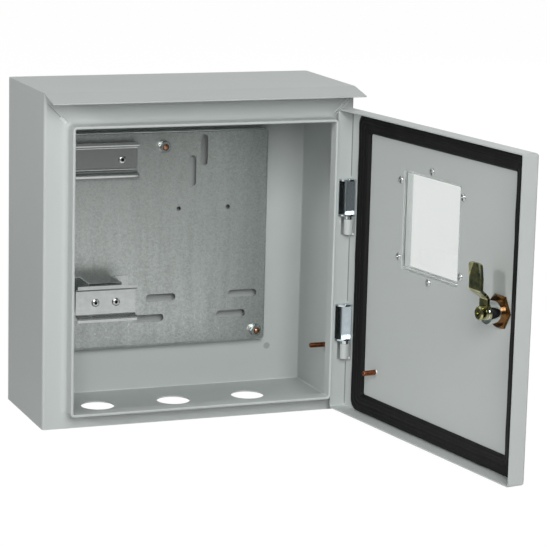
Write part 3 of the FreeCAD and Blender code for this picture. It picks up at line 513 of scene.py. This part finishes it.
class METERBOX_OT_housing(Operator):
    """Coats the folded steel, and lays the seams and welds of the housing"""
    bl_idname = "meterbox.housing"
    bl_label = "Housing"
    # Points of a mitre's line down the front strip, round the rim's root and along the rim
    strip_steps = 60
    bend_steps = 12
    rim_steps = 30

    def execute(self, context):
        finishes, sizes = settings(context)
        coat = powder_coat("powder coated steel", finishes.paint, finishes.paint_shade)
        dress(coat, "body_wrap", "top_frame", "floor_panel", "roof_panel", "door_panel",
              "upper_hinge_knuckle", "lower_hinge_knuckle")
        # Painted shade: a dark coat that marks the mitre's gap and the inside fold of the door's hinge
        # flange.
        crease_shade_coat = powder_coat("powder coat with painted seam shade", finishes.seam_painted_shade, finishes.seam_painted_shade_deep)
        left, left_out = self.mitre(sizes, -1)
        right, right_out = self.mitre(sizes, 1)
        open_line = slice(0, self.strip_steps - 2)
        seam = bead(left[open_line], left_out[open_line], sizes.seam_width, 0.15 * sizes.seam_width,
                    sizes.weld_ripple)
        make_piece("mitre_seam_shade", [seam], crease_shade_coat, "body")
        make_piece("flange_crease_shade", self.creases(sizes), crease_shade_coat, "door")
        # Painted highlight: the welds take a lighter coat that stands in for the glints on their crowns.
        pooled = powder_coat("powder coat with painted highlight", finishes.weld_painted_highlight, finishes.paint)
        make_piece("mitre_welds", self.mitre_welds(sizes, left, left_out, right, right_out), pooled, "body")
        make_piece("floor_welds", self.floor_welds(sizes), pooled, "body")
        # Painted shade: the knock-out discs take a darker coat that stands in for the shade in the holes.
        shadowed = powder_coat("sparse powder coat", finishes.knockout_painted_shade, finishes.seam_painted_shade)
        make_piece("wall_knockouts", self.knockouts(sizes), shadowed, "body")
        return {"FINISHED"}

    def mitre(self, sizes, side):
        """Line of an upper mitre: 45 degrees down the front strip, round the rim's root and along its corner.

        Each point is a way out along the diagonal from the rim's rounded corner, and a depth.
        """
        front, root = -sizes.front_strip, sizes.rim_root
        inset = sizes.rim_corner * (1 - diagonal)
        start = (sizes.rim_side - inset, sizes.rim_top - inset)
        far = (sizes.fold_side - start[0]) / diagonal
        turn = np.linspace(np.pi / 2, np.pi, self.bend_steps)
        strip = straight((far, front), (root, front), self.strip_steps)
        bend = np.stack([root + root * np.cos(turn), front - root + root * np.sin(turn)], axis=1)
        rim = straight((0, front - root), (0, rim_front + sizes.sheet), self.rim_steps)
        way = np.concatenate([strip[:-1], bend, rim[1:]])
        bend_start = self.strip_steps - 1
        rim_start = bend_start + self.bend_steps
        flat = np.stack([np.zeros(len(way)), -np.ones(len(way))], axis=1)
        flat[bend_start:rim_start] = np.stack([-np.cos(turn), -np.sin(turn)], axis=1)
        flat[rim_start:] = (1, 0)
        reach = way[:, 0] * diagonal
        lean = flat[:, 0] * diagonal
        line = np.stack([side * (start[0] + reach), way[:, 1], start[1] + reach], axis=1)
        outward = np.stack([side * lean, flat[:, 1], lean], axis=1)
        return line, outward

    def mitre_welds(self, sizes, left, left_out, right, right_out):
        """Two runs of bead beside the right seam, and a short thick run at the root of the left one."""
        from_seam = 1.2 * mm
        apart = np.array([1.0, 0.0, -1.0]) * diagonal * from_seam
        strip = slice(2, self.strip_steps - 2)
        patches = [bead(right[strip] + shift, right_out[strip], 0.9 * sizes.weld_width,
                        1.6 * sizes.weld_height, sizes.weld_ripple) for shift in (apart, -apart)]
        blob = slice(self.strip_steps - 16, self.strip_steps + 4)
        patches.append(bead(left[blob], left_out[blob], 2.2 * sizes.weld_width, 2.2 * sizes.weld_height,
                            sizes.weld_ripple))
        return patches

    def creases(self, sizes):
        """Thin lines of painted shade along the inside fold of the door's hinge flange, left out at the two
        hinge notches.
        """
        door = swing(node_points("door_panel"), -open_angle)
        seal = swing(node_points("door_gasket"), -open_angle)
        fold, margin, under_knuckle = 0.4 * mm, 1 * mm, 4 * mm
        x = door[:, 0].max() - sizes.sheet - fold
        y = seal[:, 1].min() + fold
        gaps = []
        for name in ("lower", "upper"):
            gaps.append(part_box(name + "_hinge_knuckle")[0].z - under_knuckle)
            gaps.append(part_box(name + "_hinge_bracket")[1].z + margin)
        ends = [seal[:, 2].min() + margin, *gaps, seal[:, 2].max() - margin]
        patches = []
        for start, end in zip(ends[::2], ends[1::2]):
            line = straight((x, y, start), (x, y, end), 60)
            outward = np.repeat(np.array([[-1.0, 1.0, 0.0]]) * diagonal, len(line), axis=0)
            lean = swing(outward + hinge_point, open_angle) - hinge_point
            patches.append(bead(swing(line, open_angle), lean, 3.2 * sizes.seam_width, 0.3 * sizes.seam_width,
                                sizes.weld_ripple))
        return patches

    def knockouts(self, sizes):
        """A dished disc in each wall hole, half cut from the wall and a little behind its inside."""
        radius, rise, foot = sizes.knockout, 0.5 * sizes.sheet, -0.25 * sizes.sheet
        profile = [(0, 0), (radius, 0), (radius, rise), (0.8 * radius, 1.1 * rise), (0, rise)]
        reach = (-sizes.wall_reach, sizes.wall_reach)
        return [lathe(profile, (x, foot, z), (0, -1, 0), 32) for x in reach for z in reach]

    def floor_welds(self, sizes):
        """Beads where the floor meets the back and both sides, with a tack at each of their ends."""
        low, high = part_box("body_wrap")
        left, right = low.x + sizes.sheet, high.x - sizes.sheet
        top = floor_height + sizes.sheet
        back = -sizes.sheet
        behind_strip = 8 * mm
        near = -sizes.front_strip + behind_strip
        corners = [(left, near), (left, back), (right, back), (right, near)]
        patches = []
        for (x0, y0), (x1, y1), lean in zip(corners, corners[1:], ((1, 0), (0, -1), (-1, 0))):
            line = straight((x0, y0, top), (x1, y1, top), 240)
            outward = np.repeat(np.array([[*lean, 1.0]]) * diagonal, len(line), axis=0)
            patches.append(bead(line, outward, 1.4 * sizes.weld_width, sizes.weld_height, sizes.weld_ripple))
        dome = oval((0, 0), sizes.tack, 0.7 * sizes.tack, 0, 90)
        for (x, y), lean in zip(corners, ((1, 0), (1, -1), (-1, -1), (-1, 0))):
            outward = np.array([*lean, 1.0]) / np.linalg.norm([*lean, 1.0])
            patches.append(lathe([(0, 0), *dome], (x, y, top), outward, 20))
        return patches


class METERBOX_OT_plate(Operator):
    """Finishes the mounting plate, its rails and what fastens them"""
    bl_idname = "meterbox.plate"
    bl_label = "Mounting plate"

    def execute(self, context):
        finishes, sizes = settings(context)
        dress(galvanised_sheet(finishes), "mounting_plate")
        rail_zinc = bright_plate("zinc plated strip", finishes.zinc_plate, 0.23, (0.05, 1.0, 1.0))
        dress(rail_zinc, "upper_din_rail", "lower_din_rail", "rail_bracket")
        fastener = bright_plate("zinc plated fastener", finishes.zinc_plate, 0.26, even)
        dress(fastener, "plate_washers", "plate_spring_washers", "plate_nuts")
        make_piece("rolled_ridges", self.ridges(sizes), rail_zinc, "body")
        rivet = bright_plate("plain aluminium", finishes.aluminium, 0.22, even)
        # Painted shade: the mandrels' steel is near black, standing in for the shade deep in the rivets'
        # holes.
        broken = tinted_metal("mandrel steel darkened as painted shade", finishes.mandrel, finishes.seal_black_and_hole_shade, 0.6, 1.0)
        for name in ("upper_rail_rivets", "lower_rail_rivets"):
            boxes = solid_boxes(name, reach=10 * mm)
            heads = [rivet_patch(sizes, box) for box in boxes]
            make_piece(name + "_domed", heads, rivet, "body", (name,))
            ends = [mandrel_patch(sizes, box) for box in boxes]
            make_piece(name + "_mandrels", ends, broken, "body")
        return {"FINISHED"}

    def ridges(self, sizes):
        """Low ridges that rolling and shearing leave, each half an ellipse along a line and leaning down.

        They run on the upper rail's lower lip, over the lower bend of its web and along the plate's top edge.
        """
        rail_low, rail_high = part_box("upper_din_rail")
        plate_low, plate_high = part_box("mounting_plate")
        plate_corner = 3 * mm
        rail_span = (rail_low.x, rail_high.x)
        plate_span = (plate_low.x + plate_corner, plate_high.x - plate_corner)
        lip = (rail_low.y + 0.3 * mm, rail_low.z + 2.3 * mm)
        web = (rail_high.y - sizes.rail_sheet, rail_low.z + 8.2 * mm)
        edge = (plate_low.y, plate_high.z - 0.9 * mm)
        # Span, depth and height, lean in degrees, and width as a share of a weld's
        runs = ((rail_span, lip, 12.0, 2.5), (rail_span, web, 8.0, 1.7), (plate_span, edge, 14.0, 0.9))
        patches = []
        for (start, end), (y, z), lean, share in runs:
            line = straight((start, y, z), (end, y, z))
            tilt = math.radians(lean)
            outward = np.repeat([[0, -math.cos(tilt), -math.sin(tilt)]], len(line), axis=0)
            patches.append(bead(line, outward, share * sizes.weld_width, 0.9 * sizes.weld_height,
                                40 * sizes.weld_ripple))
        return patches


def rivet_profile(sizes, radius, height, shank, grip):
    """Blind rivet: a hole for the mandrel, a domed head, and a shank below the seat at height 0."""
    bevel = 0.1 * mm
    hole = sizes.mandrel
    rim = hole + bevel
    floor = -0.8 * grip
    crown = oval((rim, 0.25 * height), radius - rim, 0.75 * height, 90, 0)
    return [(0, floor), (hole, floor), (hole, 0.9 * height), *crown, (radius, 0.1 * height),
            (radius - bevel, 0), (shank, 0), (shank, -grip), (0, -grip)]


def rivet_patch(sizes, box):
    """Rivet of a rail: its CAD box gives the head's radius, and its depth the head and the shank."""
    low, high = box
    radius = (high[0] - low[0]) / 2
    shank = 0.42 * radius
    seat = low[1] + sizes.rail_head
    place = ((low[0] + high[0]) / 2, seat, (low[2] + high[2]) / 2)
    profile = rivet_profile(sizes, radius, sizes.rail_dome, shank, high[1] - seat)
    return lathe(profile, place, (0, -1, 0))


def mandrel_patch(sizes, box):
    """Broken end of the mandrel: a short rod with a dished top, low in the rivet's hole."""
    low, high = box
    play, foot, top = 0.03 * mm, -1 * mm, 0.7 * mm
    radius = sizes.mandrel - play
    place = ((low[0] + high[0]) / 2, low[1] + sizes.rail_head, (low[2] + high[2]) / 2)
    profile = [(0, foot), (radius, foot), (radius, top), (0.5 * radius, 0.8 * top), (0, 0.7 * top)]
    return lathe(profile, place, (0, -1, 0), 24)


class METERBOX_OT_studs(Operator):
    """Cuts the threads of the plate's studs and of both earth studs"""
    bl_idname = "meterbox.studs"
    bl_label = "Studs"

    def execute(self, context):
        finishes, sizes = settings(context)
        copper = tinted_metal("copper flashed steel", finishes.copper, finishes.copper_dark, 0.3, 3.0)
        flash = bright_plate("weld flash", finishes.flash, 0.4, even)
        rods = []
        for low, high in solid_boxes("plate_studs", reach=30 * mm):
            middle = (low + high) / 2
            radius = (high[0] - low[0]) / 2
            place = (middle[0], high[1], middle[2])
            rods.append(threaded_rod(place, (0, -1, 0), radius, high[1] - low[1], sizes.coarse_pitch))
        # Painted highlight: the plate's studs take a lighter copper that stands in for the glint on their
        # ends.
        clean = tinted_metal("copper flash with painted highlight", finishes.copper_painted_highlight, finishes.copper, 0.3, 3.0)
        make_piece("plate_studs_threaded", rods, clean, "body", ("plate_studs",))
        low, high = (np.array(corner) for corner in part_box("body_earth_stud"))
        middle = (low + high) / 2
        self.earth_stud("body_earth_stud", (high[0], middle[1], middle[2]), (-1, 0, 0), high[0] - low[0],
                        (high[2] - low[2]) / 2, sizes, copper, flash, "body")
        low, high = solid_boxes("door_earth_stud", reach=30 * mm, shut=True)[0]
        middle = (low + high) / 2
        foot = swing(np.array([middle[0], low[1], middle[2]]), open_angle)
        self.earth_stud("door_earth_stud", foot, door_inward, high[1] - low[1],
                        (high[2] - low[2]) / 2, sizes, copper, flash, "door")
        return {"FINISHED"}

    def earth_stud(self, node, foot, axis, reach, collar, sizes, copper, flash, body):
        """Threaded rod on a rounded collar of weld flash."""
        radius = 0.78 * collar
        rise = 0.9 * mm
        ring = [(0, 0), (collar, 0), *oval((radius, 0), collar - radius, rise, 0, 90, 7), (0, rise)]
        rod = threaded_rod(foot, axis, radius, reach, sizes.fine_pitch)
        make_piece(node + "_threaded", [rod], copper, body, (node,))
        make_piece(node + "_flash", [lathe(ring, foot, axis)], flash, body)


class METERBOX_OT_seal(Operator):
    """Forms the door's rubber seal"""
    bl_idname = "meterbox.seal"
    bl_label = "Seal"

    def execute(self, context):
        sizes = context.scene.meter_box_sizes
        rubber = seal_rubber(context.scene.meter_box_finishes)
        strip = self.strip(sizes)
        make_piece("door_seal", [strip], rubber, "door", ("door_gasket",), 60.0)
        return {"FINISHED"}

    def strip(self, sizes, width=18 * mm, outer_radius=10 * mm, inner_radius=2 * mm):
        """Crowned strip between an outer and an inner loop.

        Across the strip the height is a flattened arch with low ridges along it and a dent from the rim, and
        along it the arch rises and falls slowly.
        """
        points = swing(node_points("door_gasket"), -open_angle)
        low, high = points.min(0), points.max(0)
        ridge_count, dent_share, sway = 4.5, 0.05, 0.12 * mm
        ridge_room = 0.55 * mm
        # The foam has spread past the solid's loop, most of all at the door's free side
        wider = np.array([1.0 * mm, 0])
        outer = rounded_loop(low[[0, 2]] - 2.0 * wider, high[[0, 2]] + wider, outer_radius)
        inner = rounded_loop(low[[0, 2]] + width, high[[0, 2]] - width - 1.4 * wider, inner_radius)
        share = (1 - np.cos(np.linspace(0, np.pi, 41))) / 2
        across = outer[:, None] * (1 - share[:, None]) + inner[:, None] * share[:, None]
        arch = (1 - np.abs(2 * share - 1) ** 5) ** 0.5
        ridges = sizes.seal_ridge * np.cos(2 * np.pi * ridge_count * share) * arch
        dent = sizes.seal_dent * np.exp(-((share - 0.5) / dent_share) ** 2)
        run = np.linspace(0, 2 * np.pi, len(outer), endpoint=False)
        waver = sway * (np.sin(7 * run) + np.sin(19 * run + 1.0) + np.sin(31 * run + 2.0))
        rise = (high[1] - low[1] - ridge_room) * arch + ridges - dent + waver[:, None] * arch
        foot = np.full_like(across[..., 0], low[1])
        upper = np.stack([across[..., 0], foot + rise, across[..., 1]], axis=-1)
        lower = np.stack([across[..., 0], foot, across[..., 1]], axis=-1)[:, 1:-1]
        closed = np.concatenate([upper, lower[:, ::-1]], axis=1)
        return grid(swing(closed, open_angle), wrap_rows=True, wrap_columns=True)


class METERBOX_OT_window(Operator):
    """Finishes the pane and forms the rivets that hold it"""
    bl_idname = "meterbox.window"
    bl_label = "Window"

    def execute(self, context):
        finishes, sizes = settings(context)
        dress(clear_pane(finishes, sizes), "window_pane")
        rivet = bright_plate("polished aluminium", finishes.aluminium, 0.16, even)
        patches = []
        for low, high in solid_boxes("window_rivets", reach=12 * mm, shut=True):
            patches += self.rivet(sizes, low, high)
        make_piece("window_rivets_domed", patches, rivet, "door", ("window_rivets",))
        return {"FINISHED"}

    def rivet(self, sizes, low, high):
        """Domed head outside, and inside the door a swelled tail with the mandrel's end standing out."""
        belly, swell, point = 0.5 * mm, 1.4 * mm, 0.5 * mm
        nub, undercut, grip = 0.9 * mm, 0.2 * mm, 3.2 * mm
        head_radius, head_height, shank = 3.2 * mm, 1.2 * mm, 1.6 * mm
        middle = (low + high) / 2
        tail = (high[0] - low[0]) / 2
        inside = high[1] - (belly + swell + point)
        place = swing(np.array([middle[0], inside, middle[2]]), open_angle)
        dome = oval((nub, belly), tail - nub, swell, 0, 90)
        end = oval((0, belly + swell), nub, point, 0, 90, 6)
        swelled = lathe([(0, 0), (tail - undercut, 0), *dome, *end], place, door_inward)
        seat = place - grip * door_inward
        head = rivet_profile(sizes, head_radius, head_height, shank, grip)
        return [swelled, lathe(head, seat, -door_inward)]


class METERBOX_OT_hinges(Operator):
    """Finishes the hinge brackets, pins and collars"""
    bl_idname = "meterbox.hinges"
    bl_label = "Hinges"

    def execute(self, context):
        finishes = context.scene.meter_box_finishes
        hinge = bright_plate("zinc plated hinge", finishes.hinge_plate, 0.14, (1.0, 1.0, 0.2))
        dress(hinge, "upper_hinge_bracket", "lower_hinge_bracket", "hinge_washers")
        for name in ("upper", "lower"):
            make_piece(name + "_hinge_pin_stubs", self.stubs(name), hinge, "door",
                       (name + "_hinge_pin",))
        return {"FINISHED"}

    def stubs(self, name):
        """The pin's two ends: one through the lower ear into the eye, one riveted over the upper ear."""
        low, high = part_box(name + "_hinge_pin")
        below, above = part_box(name + "_hinge_bracket")
        radius = (high.x - low.x) / 2
        ear, lip = 1.5 * mm, 0.1 * mm
        lower = [(0, low.z), (radius, low.z), (radius, below.z + ear), (0, below.z + ear)]
        head = oval((0, above.z + lip), radius, high.z - above.z - lip, 0, 90)
        upper = [(0, above.z - ear), (radius, above.z - ear), (radius, above.z), *head]
        place = (hinge_point[0], hinge_point[1], 0)
        return [lathe(lower, place, (0, 0, 1)), lathe(upper, place, (0, 0, 1))]


class METERBOX_OT_lock(Operator):
    """Finishes the lock's barrel, nut, cam and screw"""
    bl_idname = "meterbox.lock"
    bl_label = "Lock"

    def execute(self, context):
        finishes, sizes = settings(context)
        chrome = bright_plate("bright chrome plate", finishes.chrome, 0.07, even)
        dress(chrome, "lock_housing", "lock_plug")
        yellow = tinted_metal("yellow zinc plate", finishes.yellow_zinc, finishes.olive_zinc, 0.14, 7.0)
        dress(yellow, "cam_spring_washer", "cam_screw")
        make_piece("lock_cam_bent", [self.cam(sizes)], yellow, "cam", ("lock_cam",))
        brown = tinted_metal("brown zinc plate", finishes.brown_zinc, finishes.brown_shade, 0.22, 6.0)
        dress(brown, "lock_nut")
        return {"FINISHED"}

    def cam(self, sizes):
        """Cranked strip: its middle line runs up from a round root and steps off the door on a smooth S.

        The half width is a function of the height: a half circle at the root, a neck and a blade with a
        rounded tip. Beyond a slanting crease on either side, its corners bend on by an even slope.
        """
        crank_start, crank_run = 12 * mm, 10 * mm
        neck_end, neck_run = 13 * mm, 5 * mm
        tip_corner, crease_from_middle = 3.5 * mm, 3.3 * mm
        crease_across, crease_up, corner_slope = 0.92, 0.39, 0.28
        root, sheet = sizes.cam_root, sizes.cam_sheet
        edge = 0.25 * sheet
        points = swing(node_points("lock_cam"), -open_angle)
        low, high = points.min(0), points.max(0)
        half = (high[0] - low[0]) / 2
        tip = high[2] - low[2] - root
        step = high[1] - low[1] - sheet
        round_end = -root * np.cos(np.linspace(0, np.pi / 2, 16))
        rise = np.concatenate([round_end, np.linspace(0, tip, 130)[1:]])
        crank = np.clip((rise - crank_start) / crank_run, 0, 1)
        slope = step * 6 * crank * (1 - crank) / crank_run
        neck = np.clip((rise - neck_end) / neck_run, 0, 1)
        past = np.clip(rise - tip + tip_corner, 0, tip_corner)
        blade = root + (half - root) * smooth(neck) - tip_corner + np.sqrt(tip_corner ** 2 - past ** 2)
        wide = np.where(rise < 0, np.sqrt(np.clip(root ** 2 - rise ** 2, 0, None)), blade)
        across = wide[:, None] * np.linspace(-1, 1, 41)
        over = crease_across * (np.abs(across) - crease_from_middle) + crease_up * (rise[:, None] - tip)
        line = step * smooth(crank)[:, None] + corner_slope * np.clip(over, 0, None)
        thin = np.sqrt(1 - np.clip((rise - tip + edge) / edge, 0, 1) ** 2)
        lift = 0.5 * sheet * thin / np.hypot(1, slope)
        tall = np.repeat(rise[:, None], across.shape[1], axis=1)
        upper = np.stack([across, line + lift[:, None], tall - (lift * slope)[:, None]], axis=-1)
        lower = np.stack([across, line - lift[:, None], tall + (lift * slope)[:, None]], axis=-1)
        base = np.array([(low[0] + high[0]) / 2, low[1] + 0.5 * sheet, low[2] + root])
        closed = np.concatenate([upper, lower[:, ::-1]], axis=1) + base
        return grid(swing(closed, open_angle), wrap_columns=True)


class METERBOX_OT_studio(Operator):
    """Makes the floor, the white surroundings, the lights and the camera"""
    bl_idname = "meterbox.studio"
    bl_label = "Studio"

    def execute(self, context):
        studio = context.scene.meter_box_studio
        self.floor(studio)
        self.surroundings(context.scene, studio)
        # Each light's place, what it looks at, its size in metres and its power
        middle = (0.0, -0.08, 0.0)
        self.light("front light", (-0.42, -2.13, 0.98), middle, 1.1, studio.front_power)
        self.light("left light", (-3.53, -1.37, 1.37), middle, 0.6, studio.left_power)
        self.light("top light", (0.0, -0.1, 2.0), middle, 1.1, studio.top_power)
        self.light("back light", (2.1, 1.7, 0.9), middle, 1.1, studio.back_power)
        self.camera(context.scene, studio)
        context.scene.view_settings.view_transform = "Standard"
        return {"FINISHED"}

    def seen(self, tree):
        """One where a ray comes from the camera or through a clear piece, and zero elsewhere."""
        path = add(tree, "LightPath")
        eye = add(tree, "Math", {0: (path, "Is Camera Ray"), 1: (path, "Is Transmission Ray")},
                  operation="MAXIMUM")
        return path, eye

    def floor(self, studio):
        """A wide level sheet under the box, nearly white to the eye, that keeps a faint shadow.

        To gloss it is white around the box, dimmer close behind it, where the box shades it, and falls off to
        the dim room in front.
        """
        paper_tone, glow_level, glow_share = (0.75, 0.75, 0.75, 1.0), 1.03, 0.96
        shaded_place = (-0.3, 0.5, floor_height)
        material, tree, place = new_material("white floor")
        paper = add(tree, "BsdfDiffuse", {"Color": paper_tone})
        path, eye = self.seen(tree)
        where = add(tree, "SeparateXYZ", {0: place})
        front = add(tree, "MapRange", {"Value": (where, "Y"), "From Min": -0.95, "From Max": -0.6,
                                       "To Min": studio.room, "To Max": 1.0})
        away = add(tree, "VectorMath", {0: place, 1: shaded_place}, operation="DISTANCE")
        shade = add(tree, "MapRange", {"Value": (away, "Value"), "From Min": 0.2, "From Max": 0.9,
                                       "To Min": 0.1, "To Max": 1.0})
        gloss = add(tree, "Math", {0: (front, 0), 1: (shade, 0)}, operation="MINIMUM")
        mirrored = add(tree, "Math", {0: (path, "Is Glossy Ray"), 1: (path, "Is Transmission Ray")},
                       operation="SUBTRACT", use_clamp=True)
        level = add(tree, "Mix", {0: (mirrored, 0), 2: glow_level, 3: (gloss, 0)})
        glow = add(tree, "Emission", {"Color": (1.0, 1.0, 1.0, 1.0), "Strength": (level, 0)})
        lit = add(tree, "Math", {0: (eye, 0), 1: (path, "Is Glossy Ray")}, operation="MAXIMUM")
        share = add(tree, "Math", {0: (lit, 0), 1: glow_share}, operation="MULTIPLY")
        finish_with(material, add(tree, "MixShader", {0: (share, 0), 1: (paper, 0), 2: (glow, 0)}))
        half = 6.0
        line = np.linspace(-half, half, 2)
        x, y = np.meshgrid(line, line, indexing="ij")
        verts, faces = grid(np.stack([x, y, np.full_like(x, floor_height)], axis=-1))
        mesh = bpy.data.meshes.new("floor")
        mesh.from_pydata(verts, [], faces.tolist())
        mesh.materials.append(material)
        sheet = bpy.data.objects.new("floor", mesh)
        bpy.context.scene.collection.objects.link(sheet)

    def surroundings(self, scene, studio):
        """White to the eye, and to gloss white behind and dim in front; the lights do the rest."""
        world = bpy.data.worlds.new("white studio")
        world.use_nodes = True
        tree = world.node_tree
        tree.nodes.clear()
        path, eye = self.seen(tree)
        way = add(tree, "TexCoord")
        part = add(tree, "SeparateXYZ", {0: (way, "Generated")})
        gloss = add(tree, "MapRange", {"Value": (part, "Y"), "From Min": -0.3, "From Max": 0.2,
                                       "To Min": studio.room, "To Max": 1.0})
        level = add(tree, "Math", {0: (path, "Is Glossy Ray"), 1: (gloss, 0)}, operation="MULTIPLY")
        white = add(tree, "Mix", {0: (eye, 0), 2: (level, 0), 3: 1.0})
        glow = add(tree, "Background", {"Color": (1.0, 1.0, 1.0, 1.0), "Strength": (white, 0)})
        add(tree, "OutputWorld", {"Surface": (glow, 0)})
        scene.world = world

    def light(self, name, place, target, size, power):
        """A square soft light that looks at a target."""
        lamp = bpy.data.lights.new(name, "AREA")
        lamp.size = size
        lamp.energy = power
        lit = bpy.data.objects.new(name, lamp)
        aim = Vector(target) - Vector(place)
        lit.rotation_euler = aim.to_track_quat("-Z", "Y").to_euler()
        lit.location = place
        bpy.context.scene.collection.objects.link(lit)

    def camera(self, scene, studio):
        """A long lens at the place, yaw, pitch and roll that were fitted to the box's corners."""
        lens = bpy.data.cameras.new("camera")
        lens.sensor_width = sensor_width
        lens.lens = studio.focal_pixels / photo_side * sensor_width
        view = bpy.data.objects.new("camera", lens)
        level = Matrix.Rotation(-studio.yaw, 4, "Z") @ Matrix.Rotation(math.pi / 2 - studio.pitch, 4, "X")
        turned = level @ Matrix.Rotation(studio.roll, 4, "Z")
        view.matrix_world = Matrix.Translation(studio.camera_place) @ turned
        scene.collection.objects.link(view)
        scene.camera = view


class METERBOX_PT_panel(Panel):
    """Lists the meter box's steps"""
    bl_label = "Meter box"
    bl_idname = "METERBOX_PT_panel"
    bl_space_type = "VIEW_3D"
    bl_region_type = "UI"
    bl_category = "Meter box"

    def draw(self, context):
        for operator in operators:
            self.layout.operator(operator.bl_idname)


operators = (METERBOX_OT_housing, METERBOX_OT_plate, METERBOX_OT_studs, METERBOX_OT_seal, METERBOX_OT_window,
             METERBOX_OT_hinges, METERBOX_OT_lock, METERBOX_OT_studio)
classes = (MeterBoxFinishes, MeterBoxSizes, MeterBoxStudio, *operators, METERBOX_PT_panel)


def register():
    for kind in classes:
        bpy.utils.register_class(kind)
    bpy.types.Scene.meter_box_finishes = PointerProperty(type=MeterBoxFinishes)
    bpy.types.Scene.meter_box_sizes = PointerProperty(type=MeterBoxSizes)
    bpy.types.Scene.meter_box_studio = PointerProperty(type=MeterBoxStudio)


def unregister():
    del bpy.types.Scene.meter_box_studio
    del bpy.types.Scene.meter_box_sizes
    del bpy.types.Scene.meter_box_finishes
    for kind in reversed(classes):
        bpy.utils.unregister_class(kind)


def main():
    register()
    bpy.ops.meterbox.housing()
    bpy.ops.meterbox.plate()
    bpy.ops.meterbox.studs()
    bpy.ops.meterbox.seal()
    bpy.ops.meterbox.window()
    bpy.ops.meterbox.hinges()
    bpy.ops.meterbox.lock()
    bpy.ops.meterbox.studio()


if __name__ == "__main__":
    main()
